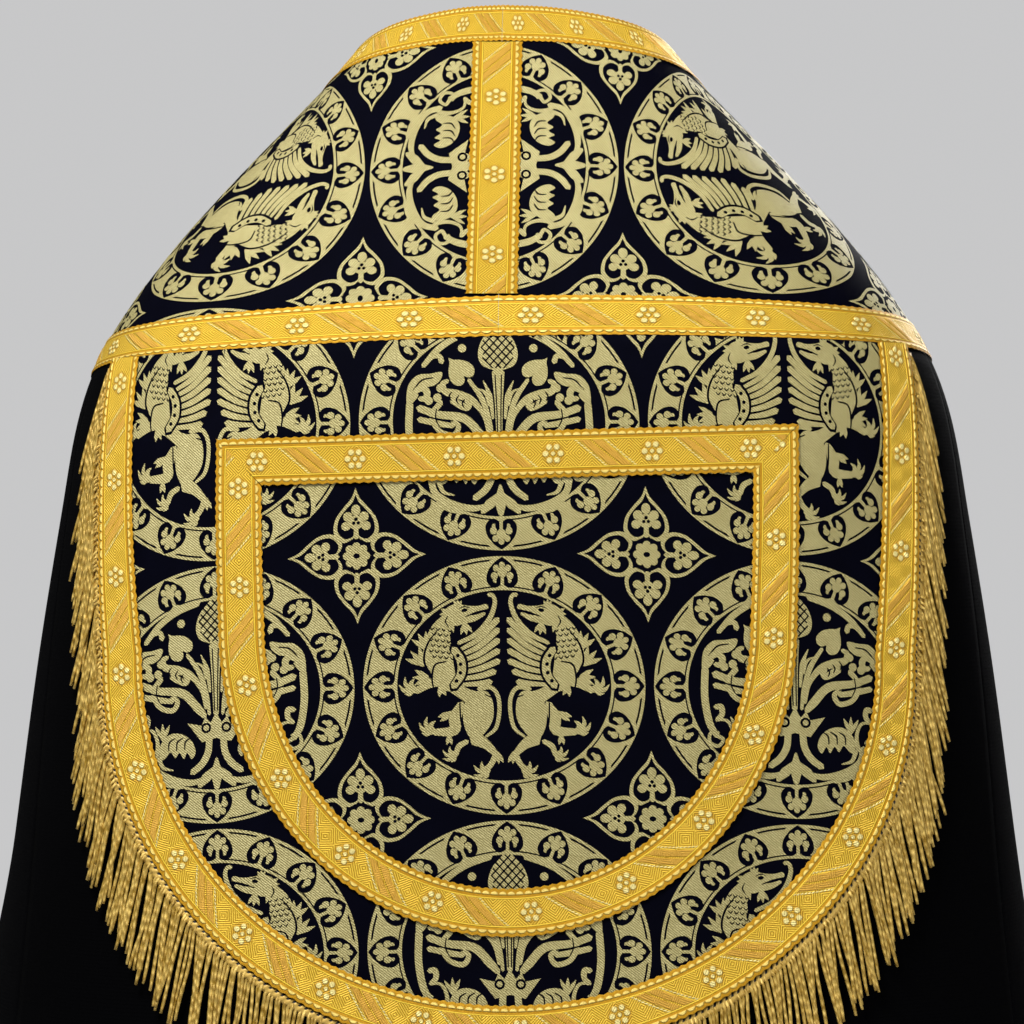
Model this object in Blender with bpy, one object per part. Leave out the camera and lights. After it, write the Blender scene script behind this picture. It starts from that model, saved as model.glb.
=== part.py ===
"""Cope vestment as worn: a full round cloak whose straight front edge carries a brocade orphrey.

The cloth hangs from the shoulders and stays hollow. The origin is the nape, where the neck
braid rests, +Z is up and the wearer's back faces -Y. Lengths are in metres.
"""
import math

import bmesh
import bpy
from mathutils import Vector

# Driving dimensions
CLOTH = 0.0020              # cloak and orphrey, cloth with its interlining
HOOD_CLOTH = 0.0025         # the stiffened hood
BRAID = 0.0012              # thickness of the galloon braid
BRAID_WIDTH = 0.0296
SEAM = 0.0003               # gap left at every seam and under every braid
NAPE = 0.0                  # height of the neck braid at the centre back
SHOULDER_SEAM = -0.2275     # height of the orphrey's lower edge at the centre back
BACK_HEM = -1.42
SIDE_HEM = -1.35
SEAM_OFF_CENTRE = (-0.011, -0.0155)    # sideways place of the centre-back join, at its top and bottom
SHIFT_FADE = 3.0            # place among the cross lines where the off-centre join is made good
SHOULDER_LINE = 7.6         # place among the cross lines where the cloak's edge turns down the front
SHOULDER_LEAN = 0.0055      # the orphrey lies this much higher on the right shoulder, lower on the left
LEAN_END = 10.0             # place among the cross lines where that lean has faded out

# The worn form, a row for each level: height, half width, depth behind, depth in front
LEVELS = (
    (0.030, 0.070, 0.048, 0.045),
    (0.000, 0.0905, 0.066, 0.062),
    (-0.033, 0.1142, 0.087, 0.080),
    (-0.074, 0.1520, 0.113, 0.100),
    (-0.115, 0.1906, 0.138, 0.117),
    (-0.155, 0.2261, 0.161, 0.130),
    (-0.196, 0.2576, 0.181, 0.141),
    (-0.236, 0.2816, 0.195, 0.149),
    (-0.277, 0.2958, 0.203, 0.156),
    (-0.338, 0.3066, 0.209, 0.163),
    (-0.440, 0.3228, 0.214, 0.172),
    (-0.600, 0.3441, 0.224, 0.182),
    (-0.900, 0.3900, 0.256, 0.198),
    (-1.450, 0.4760, 0.330, 0.236),
)
BACK_SQUARENESS = 3.0       # superellipse power behind the arms
FRONT_SQUARENESS = 2.3

# The orphrey laid over the shoulder, a row for each cross line from its inner edge (neck, then front)
# to its outer edge: inner angle from the centre back, inner height, outer angle, outer height
CROSS_LINES = (
    (0.0, 0.000, 0.0, -0.2275), (26.0, -0.002, 21.0, -0.2285), (52.0, -0.010, 41.0, -0.2310),
    (74.0, -0.023, 60.0, -0.2345), (92.0, -0.037, 76.0, -0.2405), (107.0, -0.052, 90.0, -0.2480),
    (122.0, -0.073, 100.0, -0.2620), (137.0, -0.100, 105.5, -0.2860), (150.0, -0.142, 107.5, -0.3230),
    (158.0, -0.195, 109.0, -0.3580), (162.0, -0.260, 110.5, -0.4100), (163.5, -0.350, 112.0, -0.4830),
    (164.0, -0.500, 113.5, -0.6120), (163.5, -0.750, 115.5, -0.8300), (162.0, -1.000, 117.5, -1.0500),
    (160.0, -1.265, 119.0, -1.2750),
)

# Folds of the hanging cloth, a row for each: place round the cloth (-1 left front seam to 1 right),
# half width in the same measure, height where it starts, depth at the hem (outward is positive)
FOLDS = (
    (-0.91, 0.12, -0.40, 0.058), (-0.79, 0.12, -0.46, -0.050), (-0.67, 0.13, -0.56, 0.078),
    (-0.54, 0.13, -0.68, -0.056), (-0.41, 0.14, -0.72, 0.070), (-0.27, 0.13, -0.74, -0.050),
    (-0.15, 0.12, -0.74, 0.066), (-0.03, 0.13, -0.76, -0.056), (0.10, 0.13, -0.75, 0.074),
    (0.23, 0.13, -0.73, -0.060), (0.36, 0.13, -0.74, 0.064), (0.49, 0.13, -0.70, -0.054),
    (0.62, 0.14, -0.66, 0.080), (0.76, 0.13, -0.50, -0.048), (0.90, 0.12, -0.42, 0.062),
)
FOLD_GROWTH = 1.2           # power by which a fold deepens from its start to the hem
FRONT_EDGE_CALM = 0.08      # the last stretch before each front seam, where folds fade out

# Hood and its braid shield, drawn on the back: distances along the cloth and heights
HOOD_CENTRE = -0.005
HOOD_SEAM = 0.0010          # between the orphrey's lower edge and the hood's upper edge
HOOD_TOP = SHOULDER_SEAM - HOOD_SEAM
HOOD_LIFT = (0.0012, 0.0060)           # air under the hood at its top and at its lower edge
HOOD_BRAID_GAP = 0.0012
CENTRE_BRAID_GAP = 0.0015   # between the centre braid's ends and the braids it meets

# A shield's outline: half width at its top, half width where its round begins, that height, the
# round's depth
HOOD_OUTLINE = (0.2750, 0.2625, -0.431, 0.245)
SHIELD_OUTLINE = (0.1840, 0.1815, -0.410, 0.194)
SHIELD_TOP = -0.2890
SHIELD_TILT = 0.027         # rise of the shield's top bar to the right, for each unit of width

# Fringe
STRANDS = 138
STRAND_LENGTH = 0.062
STRAND_WIDTH = 0.0018
HEADING_WIDTH = 0.006
FRINGE_START = 0.0048       # below the hood's upper corners
SIDE_LEAN = 0.26            # sideways run of the side strands for each unit of fall

# Morse, the fastened tab across the chest
MORSE_HALF_WIDTH = 0.088
MORSE_TOP = -0.205
MORSE_BOTTOM = -0.285
MORSE_CLOTH = 0.003
MORSE_LIFT = 0.0021         # over the neck braids that the tab crosses

# Mesh steps
BACK_STEPS = 30             # round the orphrey from the centre back to the shoulder's front
CLOAK_STEPS = 60            # round the cloak, two for each step of the orphrey
FALL_STEPS = 13             # down the cloth
ORPHREY_STEPS = 4
SIDE_PANEL_STEP = 30        # column of the seam between the back and side panels
HOOD_STEPS = (14, 9)        # from the centre to each side, and down
HOOD_BRAID_STEPS = (6, 36)  # down each straight side, and round the bottom
SHIELD_STEPS = (3, 20)
SHIELD_BAR_STEPS = 14
FRINGE_PATH_STEPS = (20, 120)
MORSE_STEPS = (10, 3)
ARC_STEP = 2.0              # degrees between the points that measure a length round the cloth
ARC_END = 110.0
NORMAL_STEP = 0.004         # part of the cloth over which its slope is taken
SHARP_ANGLE = 50.0

COLLECTION = bpy.data.collections.new("cope_vestment")


def clear_scene():
    for item in list(bpy.data.objects):
        bpy.data.objects.remove(item, do_unlink=True)
    bpy.context.scene.collection.children.link(COLLECTION)


def cubic(values, knots, place):
    """Smooth curve through knots: values at ascending knot places, read at one place."""
    last = len(knots) - 1
    index = max(0, min(last - 1, sum(1 for knot in knots if knot <= place) - 1))

    def slope(at):
        if at == 0 or at == last:
            near = 1 if at == 0 else last
            return (values[near] - values[near - 1]) / (knots[near] - knots[near - 1])
        return (values[at + 1] - values[at - 1]) / (knots[at + 1] - knots[at - 1])

    span = knots[index + 1] - knots[index]
    part = (place - knots[index]) / span
    rise = values[index + 1] - values[index]
    start, end = slope(index) * span, slope(index + 1) * span
    return (values[index] + part * (start + part * (3 * rise - 2 * start - end
            + part * (start + end - 2 * rise))))


DEPTHS = [-row[0] for row in LEVELS]


def level(height):
    """Half width, depth behind and depth in front at a height."""
    return [cubic([row[column] for row in LEVELS], DEPTHS, -height) for column in (1, 2, 3)]


def form(angle, height):
    """Point of the worn form at an angle from the centre back (right is positive) and a height."""
    half_width, behind, ahead = level(height)
    turn = math.radians(angle)
    across, along = math.sin(turn), math.cos(turn)
    depth, power = (behind, BACK_SQUARENESS) if along >= 0 else (ahead, FRONT_SQUARENESS)
    share = (abs(across) / half_width) ** power + (abs(along) / depth) ** power
    radius = share ** (-1 / power)
    return Vector((radius * across, -radius * along, height))


def form_normal(angle, height):
    around = form(angle + 0.5, height) - form(angle - 0.5, height)
    down = form(angle, height - 0.002) - form(angle, height + 0.002)
    return down.cross(around).normalized()


def on_form(angle, height, out=0.0):
    return form(angle, height) + out * form_normal(angle, height)


def ring_lengths(height):
    """Distances along the ring from the centre back, one for each ARC_STEP of angle."""
    lengths = [0.0]
    before = form(0.0, height)
    for index in range(1, int(ARC_END / ARC_STEP) + 1):
        here = form(index * ARC_STEP, height)
        lengths.append(lengths[-1] + (here - before).length)
        before = here
    return lengths


def on_back(along, height, out=0.0):
    """Point of the back at a distance along the ring from the centre back."""
    lengths = ring_lengths(height)
    distance = abs(along)
    index = sum(1 for length in lengths if length <= distance) - 1
    index = min(index, len(lengths) - 2)
    part = (distance - lengths[index]) / (lengths[index + 1] - lengths[index])
    return on_form(math.copysign((index + part) * ARC_STEP, along), height, out)


PLACES = list(range(len(CROSS_LINES)))


def cross_line(place, side):
    """Inner angle, inner height, outer angle and outer height at a place among the cross lines."""
    found = [cubic([row[column] for row in CROSS_LINES], PLACES, place) for column in range(4)]
    found[3] += side * SHOULDER_LEAN * math.sin(math.pi * min(1.0, place / LEAN_END))
    return found


def outer_edge(place, side):
    return tuple(cross_line(place, side)[2:])


def blend(start, end, part):
    return start + part * (end - start)


def material(name, colour, roughness, metallic=0.0):
    made = bpy.data.materials.new(name)
    made.use_nodes = True
    shader = made.node_tree.nodes["Principled BSDF"]
    shader.inputs["Base Color"].default_value = (*colour, 1.0)
    shader.inputs["Roughness"].default_value = roughness
    shader.inputs["Metallic"].default_value = metallic
    made.diffuse_color = (*colour, 1.0)
    return made


# Finishes: colour, roughness, metallic value
BLACK = ((0.006, 0.006, 0.012), 0.85, 0.0)
BROCADE = ((0.16, 0.14, 0.05), 0.6, 0.2)
GOLD = ((0.75, 0.48, 0.07), 0.45, 0.5)
BULLION = ((0.72, 0.55, 0.22), 0.45, 0.4)


def keep(name, mesh_data, finish):
    item = bpy.data.objects.new(name, mesh_data)
    mesh_data.materials.append(material(name, *finish))
    mesh_data.shade_smooth()
    mesh_data.set_sharp_from_angle(angle=math.radians(SHARP_ANGLE))
    COLLECTION.objects.link(item)


def wall(name, outside, inside, finish):
    """Cloth lofted between two grids of points, its outer and its inner face, closed by a rim."""
    shell = bmesh.new()
    faces = [[[shell.verts.new(point) for point in row] for row in grid] for grid in (outside, inside)]
    rows, columns = len(outside), len(outside[0])
    outer, inner = faces
    for row in range(rows - 1):
        for column in range(columns - 1):
            for grid in (outer, inner):
                shell.faces.new((grid[row][column], grid[row + 1][column],
                                 grid[row + 1][column + 1], grid[row][column + 1]))
    border = ([(0, column) for column in range(columns)]
              + [(row, columns - 1) for row in range(1, rows)]
              + [(rows - 1, column) for column in range(columns - 2, -1, -1)]
              + [(row, 0) for row in range(rows - 2, 0, -1)])
    for one, two in zip(border, border[1:] + border[:1]):
        shell.faces.new((outer[one[0]][one[1]], outer[two[0]][two[1]],
                         inner[two[0]][two[1]], inner[one[0]][one[1]]))
    bmesh.ops.recalc_face_normals(shell, faces=shell.faces)
    mesh_data = bpy.data.meshes.new(name)
    shell.to_mesh(mesh_data)
    shell.free()
    keep(name, mesh_data, finish)


def strip(place, across, side):
    """Angle and height on the orphrey: place along it, part of its width, side -1 or 1."""
    inner_angle, inner_height, outer_angle, outer_height = cross_line(place, side)
    angle = side * blend(inner_angle, outer_angle, across)
    height = blend(inner_height, outer_height, across)
    sideways = blend(*SEAM_OFF_CENTRE, across) + side * SEAM / 2
    shifted = math.degrees(math.atan2(sideways, level(height)[1]))
    return angle + shifted * max(0.0, 1.0 - place / SHIFT_FADE) ** 2, height


def strip_width(place, side):
    points = [form(*strip(place, across / 4, side)) for across in range(5)]
    return sum((two - one).length for one, two in zip(points, points[1:]))


STRIP_PLACES = ([SHOULDER_LINE * step / BACK_STEPS for step in range(BACK_STEPS + 1)]
                + [blend(SHOULDER_LINE, PLACES[-1], step / FALL_STEPS)
                   for step in range(1, FALL_STEPS + 1)])


def strip_grid(side, columns, out):
    """Points on the orphrey at every place along it, in the columns that a width gives."""
    return [[on_form(*strip(place, across, side), out) for across in columns(strip_width(place, side))]
            for place in STRIP_PLACES]


def whole_width(wide):
    braid = BRAID_WIDTH / wide
    inner = [blend(braid, 1.0 - braid, step / ORPHREY_STEPS) for step in range(ORPHREY_STEPS + 1)]
    return [0.0] + inner + [1.0 - SEAM / wide]


def orphreys():
    for side, word in ((-1, "left"), (1, "right")):
        wall("orphrey_" + word, strip_grid(side, whole_width, 0.0),
             strip_grid(side, whole_width, -CLOTH), BROCADE)
        for edge, columns in (("neck", lambda wide: (0.0, BRAID_WIDTH / wide)),
                              ("lower", lambda wide: (1.0 - BRAID_WIDTH / wide, 1.0))):
            wall("galloon_%s_%s" % (edge, word), strip_grid(side, columns, SEAM + BRAID),
                 strip_grid(side, columns, SEAM), GOLD)


def centre_braid():
    end = (BRAID_WIDTH + CENTRE_BRAID_GAP) / strip_width(0, 1)
    sheets = []
    for out in (SEAM + BRAID, SEAM):
        grid = []
        for row in range(ORPHREY_STEPS + 1):
            across = blend(end, 1.0 - end, row / ORPHREY_STEPS)
            height = blend(NAPE, SHOULDER_SEAM, across)
            middle = blend(*SEAM_OFF_CENTRE, across)
            grid.append([on_back(middle + side * BRAID_WIDTH / 2, height, out + SEAM)
                         for side in (-1, 0, 1)])
        sheets.append(grid)
    wall("galloon_centre", sheets[0], sheets[1], GOLD)


def fold_depth(place, height):
    depth = 0.0
    for centre, half_width, start, hem_depth in FOLDS:
        offset = abs(place - centre) / half_width
        if offset < 1.0 and height < start:
            fallen = (start - height) / (start - BACK_HEM)
            depth += hem_depth * fallen ** FOLD_GROWTH * (0.5 + 0.5 * math.cos(math.pi * offset))
    return depth * min(1.0, (1.0 - abs(place)) / FRONT_EDGE_CALM)


def cloak_place(place, fall):
    """Angle and height on the cloak: place -1 to 1 round it, fall 0 at its seam to 1 at its hem."""
    side = -1 if place < 0 else 1
    share = abs(place)
    top = outer_edge(share * SHOULDER_LINE, side)
    front = outer_edge(blend(SHOULDER_LINE, PLACES[-1], fall), side)
    corner, last = outer_edge(SHOULDER_LINE, side), outer_edge(PLACES[-1], side)
    hem = (last[0] * share, cubic((BACK_HEM, SIDE_HEM, last[1]), (0.0, 0.6, 1.0), share))
    middle = (0.0, blend(SHOULDER_SEAM, BACK_HEM, fall))
    found = []
    for axis, centre in ((0, (0.0, 0.0)), (1, (SHOULDER_SEAM, BACK_HEM))):
        edges = blend(top[axis], hem[axis], fall) + blend(middle[axis], front[axis], share)
        corners = blend(blend(centre[0], corner[axis], share), blend(centre[1], last[axis], share), fall)
        found.append(edges - corners)
    return side * found[0], found[1]


def cloak(place, fall):
    angle, height = cloak_place(place, fall)
    return on_form(angle, height, fold_depth(place, height))


def cloak_wall(place, fall, shift):
    """Outer and inner point of the cloak's cloth, shifted sideways at a panel seam."""
    step = NORMAL_STEP
    low, high = max(-1.0, place - step), min(1.0, place + step)
    around = (cloak(high, fall) - cloak(low, fall)).normalized()
    up, down = max(0.0, fall - step), min(1.0, fall + step)
    fallen = cloak(place, down) - cloak(place, up)
    normal = fallen.cross(around).normalized()
    if fall == 0.0 or abs(place) == 1.0:
        normal = form_normal(*cloak_place(place, fall))
    outer = cloak(place, fall) + shift * around
    return outer, outer - CLOTH * normal


def cloak_row(first, last, fall):
    """Outer and inner points of one level of a panel, between two of the cloak's columns."""
    pairs = []
    for column in range(first, last + 1):
        shift = SEAM / 2 * ((column == first) - (column == last))
        if abs(column) == CLOAK_STEPS:
            shift = 0.0
        pairs.append(cloak_wall(column / CLOAK_STEPS, fall, shift))
    if fall == 0.0:
        for index in range(1, len(pairs) - 1, 2):
            pairs[index] = tuple((one + two) / 2 for one, two in zip(pairs[index - 1], pairs[index + 1]))
    return pairs


def cloak_panels():
    """The top edge's odd columns lie midway between their neighbours, where the orphrey's edge runs."""
    edge = SIDE_PANEL_STEP
    for name, first, last in (("body_left", -CLOAK_STEPS, -edge), ("body_back", -edge, edge),
                              ("body_right", edge, CLOAK_STEPS)):
        rows = [cloak_row(first, last, row / FALL_STEPS) for row in range(FALL_STEPS + 1)]
        outside, inside = [[[pair[face] for pair in row] for row in rows] for face in (0, 1)]
        wall(name, outside, inside, BLACK)


def hood_lift(height):
    fallen = (HOOD_TOP - height) / (HOOD_TOP - HOOD_OUTLINE[2] + HOOD_OUTLINE[3])
    return blend(*HOOD_LIFT, max(0.0, min(1.0, fallen)))


def hood_top(along):
    """Height of the hood's upper edge, just under the orphrey's outer edge."""
    distance = abs(along + HOOD_CENTRE)
    side = math.copysign(1, along + HOOD_CENTRE)
    walked, before = 0.0, form(*outer_edge(0.0, side))
    for step in range(1, BACK_STEPS + 1):
        here = form(*outer_edge(SHOULDER_LINE * step / BACK_STEPS, side))
        length = (here - before).length
        if walked + length >= distance:
            break
        walked, before = walked + length, here
    return blend(before.z, here.z, (distance - walked) / length) - HOOD_SEAM


def on_hood(along, height, out=0.0):
    return on_back(along + HOOD_CENTRE, height, hood_lift(height) + HOOD_CLOTH + out)


def side_width(outline, top, height):
    """Half width of a shield at a height of its side, which curves in from the top to the round."""
    top_width, round_width, round_height, _ = outline
    part = max(0.0, min(1.0, (top - height) / (top - round_height)))
    return blend(top_width, round_width, part ** 2)


def hood():
    columns, rows = HOOD_STEPS
    round_height, depth = HOOD_OUTLINE[2:]
    sheets = []
    for out in (0.0, -HOOD_CLOTH):
        grid = []
        for row in range(rows + 1):
            line = []
            for column in range(-columns, columns + 1):
                turn = math.pi / 2 * column / columns
                top = hood_top(HOOD_OUTLINE[0] * math.sin(turn))
                height = blend(top, round_height - depth * math.cos(turn), row / rows)
                line.append(on_hood(side_width(HOOD_OUTLINE, top, height) * math.sin(turn), height, out))
            grid.append(line)
        sheets.append(grid)
    wall("hood", sheets[0], sheets[1], BROCADE)


def shield_path(outline, top, steps):
    """Left side, round bottom and right side of a shield, as pairs of distance and height."""
    _, half_width, round_height, depth = outline
    sides, turns = steps
    upright = []
    for side in (-1, 1):
        height = top(side * outline[0])
        drops = [blend(height, round_height, step / sides) for step in range(sides)]
        upright.append([(side * side_width(outline, height, drop), drop) for drop in drops])
    bottom = []
    for step in range(turns + 1):
        turn = math.pi * step / turns
        bottom.append((-half_width * math.cos(turn), round_height - depth * math.sin(turn)))
    return upright[0] + bottom + upright[1][::-1]


def narrowed(outline, inward):
    """A shield's outline drawn in all round its sides and bottom."""
    return outline[0] - inward, outline[1] - inward, outline[2], outline[3] - inward


def hood_braid():
    lines = [shield_path(narrowed(HOOD_OUTLINE, inward), lambda along: hood_top(along) - SEAM,
                         HOOD_BRAID_STEPS) for inward in (0.0, BRAID_WIDTH / 2, BRAID_WIDTH)]
    sheets = [[[on_hood(*line[index], HOOD_BRAID_GAP + out) for line in lines]
               for index in range(len(lines[0]))] for out in (BRAID, 0.0)]
    wall("galloon_hood", sheets[0], sheets[1], GOLD)


def shield_braid():
    """Closed braid shield: the round U and the straight top bar, mitred at the corners."""
    loops = []
    for inward in (0.0, BRAID_WIDTH):
        def top(along):
            return SHIELD_TOP - inward + SHIELD_TILT * along

        path = shield_path(narrowed(SHIELD_OUTLINE, inward), top, SHIELD_STEPS)
        corner = SHIELD_OUTLINE[0] - inward
        across = [blend(corner, -corner, step / SHIELD_BAR_STEPS) for step in range(1, SHIELD_BAR_STEPS + 1)]
        loops.append(path + [(along, top(along)) for along in across])
    sheets = [[[on_hood(*loop[index], HOOD_BRAID_GAP + out) for loop in loops]
               for index in range(len(loops[0]))] for out in (BRAID, 0.0)]
    ring = bmesh.new()
    rows = [[[ring.verts.new(point) for point in pair] for pair in sheet[:-1]] for sheet in sheets]
    count = len(rows[0])
    for index in range(count):
        following = (index + 1) % count
        section, after = [[rows[0][at][0], rows[0][at][1], rows[1][at][1], rows[1][at][0]]
                          for at in (index, following)]
        for corner in range(4):
            beside = (corner + 1) % 4
            ring.faces.new((section[corner], section[beside], after[beside], after[corner]))
    bmesh.ops.recalc_face_normals(ring, faces=ring.faces)
    mesh_data = bpy.data.meshes.new("galloon_shield")
    ring.to_mesh(mesh_data)
    ring.free()
    keep("galloon_shield", mesh_data, GOLD)


def evenly(path, count):
    """Points at equal distances along a path of flat points."""
    lengths = [0.0]
    for one, two in zip(path, path[1:]):
        lengths.append(lengths[-1] + math.dist(one, two))
    points = []
    for step in range(count + 1):
        goal = lengths[-1] * step / count
        index = min(sum(1 for length in lengths if length <= goal) - 1, len(path) - 2)
        part = (goal - lengths[index]) / (lengths[index + 1] - lengths[index])
        points.append(tuple(blend(a, b, part) for a, b in zip(path[index], path[index + 1])))
    return points


def fringe():
    """Heading strip outside the hood's edge with one four-sided strand for each of its steps."""
    edge = shield_path(HOOD_OUTLINE, lambda along: hood_top(along) - FRINGE_START, FRINGE_PATH_STEPS)
    path = evenly(edge, STRANDS)
    outward = []
    for index, point in enumerate(path):
        one, two = path[max(0, index - 1)], path[min(len(path) - 1, index + 1)]
        run = Vector((two[0] - one[0], two[1] - one[1])).normalized()
        outward.append(Vector((run.y, -run.x)))
    near, far = SEAM * 2, HEADING_WIDTH
    outs = (-SEAM, SEAM - HOOD_CLOTH)
    body = bmesh.new()

    def corner(flat, out):
        return body.verts.new(on_hood(flat[0], flat[1], out))

    stations = []
    for point, away in zip(path, outward):
        flat = [Vector(point) + distance * away for distance in (near, far)]
        stations.append([corner(flat[0], outs[0]), corner(flat[1], outs[0]),
                         corner(flat[1], outs[1]), corner(flat[0], outs[1])])
    for one, two in zip(stations, stations[1:]):
        for first, second in ((0, 1), (2, 3), (3, 0)):
            body.faces.new((one[first], one[second], two[second], two[first]))
    body.faces.new(stations[0])
    body.faces.new(stations[-1])
    for index in range(STRANDS):
        away = (outward[index] + outward[index + 1]).normalized()
        root = (Vector(path[index]) + Vector(path[index + 1])) / 2 + far * away
        fall = Vector((SIDE_LEAN * away.x, -1.0)).normalized()
        bend = root + 0.45 * STRAND_WIDTH * away + STRAND_WIDTH * (away + fall)
        tip = bend + (STRAND_LENGTH - 3 * STRAND_WIDTH) * fall
        leaving = (away + fall).normalized()
        before = [stations[index][1], stations[index + 1][1], stations[index + 1][2],
                  stations[index][2]]
        for middle, heading in ((bend, (leaving + fall).normalized()), (tip, fall)):
            beside = Vector((-heading.y, heading.x)) * STRAND_WIDTH / 2
            around = [corner(middle - beside, outs[0]), corner(middle + beside, outs[0]),
                      corner(middle + beside, outs[1]), corner(middle - beside, outs[1])]
            for side in range(4):
                following = (side + 1) % 4
                body.faces.new((before[side], before[following], around[following], around[side]))
            before = around
        body.faces.new(before)
    bmesh.ops.recalc_face_normals(body, faces=body.faces)
    mesh_data = bpy.data.meshes.new("fringe")
    body.to_mesh(mesh_data)
    body.free()
    keep("fringe", mesh_data, BULLION)


def morse():
    columns, rows = MORSE_STEPS
    sheets = []
    for out in (MORSE_LIFT + MORSE_CLOTH, MORSE_LIFT):
        grid = []
        for row in range(rows + 1):
            height = blend(MORSE_TOP, MORSE_BOTTOM, row / rows)
            line = []
            for column in range(columns + 1):
                sideways = MORSE_HALF_WIDTH * (2 * column / columns - 1)
                angle = 180.0 - math.degrees(math.atan2(sideways, level(height)[2]))
                line.append(on_form(angle, height, out))
            grid.append(line)
        sheets.append(grid)
    wall("morse", sheets[0], sheets[1], BROCADE)


clear_scene()
cloak_panels()
orphreys()
centre_braid()
hood()
hood_braid()
shield_braid()
fringe()
morse()
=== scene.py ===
"""A cope worn by no one, seen from behind: black cloak, roundel brocade, gold galloon, bullion fringe."""
import math
import random

import bmesh
import bpy
import numpy as np
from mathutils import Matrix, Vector
from mathutils.geometry import delaunay_2d_cdt


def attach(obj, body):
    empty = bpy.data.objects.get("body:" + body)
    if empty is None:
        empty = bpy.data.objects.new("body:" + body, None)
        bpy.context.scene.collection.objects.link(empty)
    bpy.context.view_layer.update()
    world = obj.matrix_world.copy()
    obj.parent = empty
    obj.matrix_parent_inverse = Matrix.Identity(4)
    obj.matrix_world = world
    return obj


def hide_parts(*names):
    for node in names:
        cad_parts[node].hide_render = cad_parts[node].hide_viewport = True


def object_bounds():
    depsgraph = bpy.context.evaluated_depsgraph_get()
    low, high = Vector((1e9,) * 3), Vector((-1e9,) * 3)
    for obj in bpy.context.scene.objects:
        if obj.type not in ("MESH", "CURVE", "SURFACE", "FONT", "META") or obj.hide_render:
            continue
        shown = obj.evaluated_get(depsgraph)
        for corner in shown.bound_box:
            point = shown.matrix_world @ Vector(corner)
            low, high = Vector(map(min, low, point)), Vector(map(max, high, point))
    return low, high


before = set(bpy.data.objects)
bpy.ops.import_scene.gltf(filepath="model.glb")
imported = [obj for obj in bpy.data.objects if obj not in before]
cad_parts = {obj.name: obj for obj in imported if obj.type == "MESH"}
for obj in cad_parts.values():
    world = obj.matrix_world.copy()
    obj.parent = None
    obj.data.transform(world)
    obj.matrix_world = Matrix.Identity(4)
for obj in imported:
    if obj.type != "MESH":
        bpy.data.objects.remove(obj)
cad_box = [list(corner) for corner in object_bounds()]


# Camera, light and floor: the back fills the view from the nape to just above the hood's lower edge,
# with the lens level at the middle of the hood. Three soft boxes light it over a pale grey floor.
VIEW_HEIGHT = -0.339
VIEW_WIDTH = 0.645
HOOD_DEPTH = -0.205
VIEW_DISTANCE = 2.2
VIEW_SIDE = -0.002
FLOOR_HEIGHT = cad_box[0][2] - 0.06
FLOOR_HALF_SIZE = 6.0
BACKDROP_GREY = (0.575, 0.575, 0.580)
ROOM_LIGHT = 0.24

camera_data = bpy.data.cameras.new("camera")
camera_data.sensor_width = 36.0
camera_data.angle = 2 * math.atan(VIEW_WIDTH / 2 / VIEW_DISTANCE)
camera_data.clip_end = 50.0
camera = bpy.data.objects.new("camera", camera_data)
camera.location = (VIEW_SIDE, HOOD_DEPTH - VIEW_DISTANCE, VIEW_HEIGHT)
camera.rotation_euler = (math.pi / 2, 0.0, 0.0)
bpy.context.scene.collection.objects.link(camera)
bpy.context.scene.camera = camera

world = bpy.data.worlds.new("studio")
world.use_nodes = True
sky = world.node_tree
backdrop = sky.nodes["Background"]
room_light = sky.nodes.new("ShaderNodeBackground")
for shade, strength in ((backdrop, 1.0), (room_light, ROOM_LIGHT)):
    shade.inputs["Color"].default_value = (*BACKDROP_GREY, 1.0)
    shade.inputs["Strength"].default_value = strength
seen_or_lit = sky.nodes.new("ShaderNodeMixShader")
ray = sky.nodes.new("ShaderNodeLightPath")
for slot, output in enumerate((ray.outputs["Is Camera Ray"], room_light.outputs[0], backdrop.outputs[0])):
    sky.links.new(output, seen_or_lit.inputs[slot])
sky.links.new(seen_or_lit.outputs[0], sky.nodes["World Output"].inputs["Surface"])
bpy.context.scene.world = world
bpy.context.scene.view_settings.view_transform = "Standard"

# Soft boxes, a row for each: name, place, aim, size, power
SOFT_BOXES = (
    ("key", (-0.70, -1.3, 1.15), (0.0, -0.1, -0.20), 0.8, 62.0),
    ("fill", (1.5, -1.9, 0.4), (0.0, -0.1, -0.40), 1.2, 18.0),
    ("front", (0.9, 2.4, 0.8), (0.0, 0.1, -0.5), 1.6, 60.0),
)
for name, place, aim, size, power in SOFT_BOXES:
    lamp = bpy.data.lights.new(name, "AREA")
    lamp.size = size
    lamp.energy = power
    holder = bpy.data.objects.new(name, lamp)
    holder.location = place
    holder.rotation_euler = (Vector(aim) - Vector(place)).to_track_quat("-Z", "Y").to_euler()
    bpy.context.scene.collection.objects.link(holder)


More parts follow.
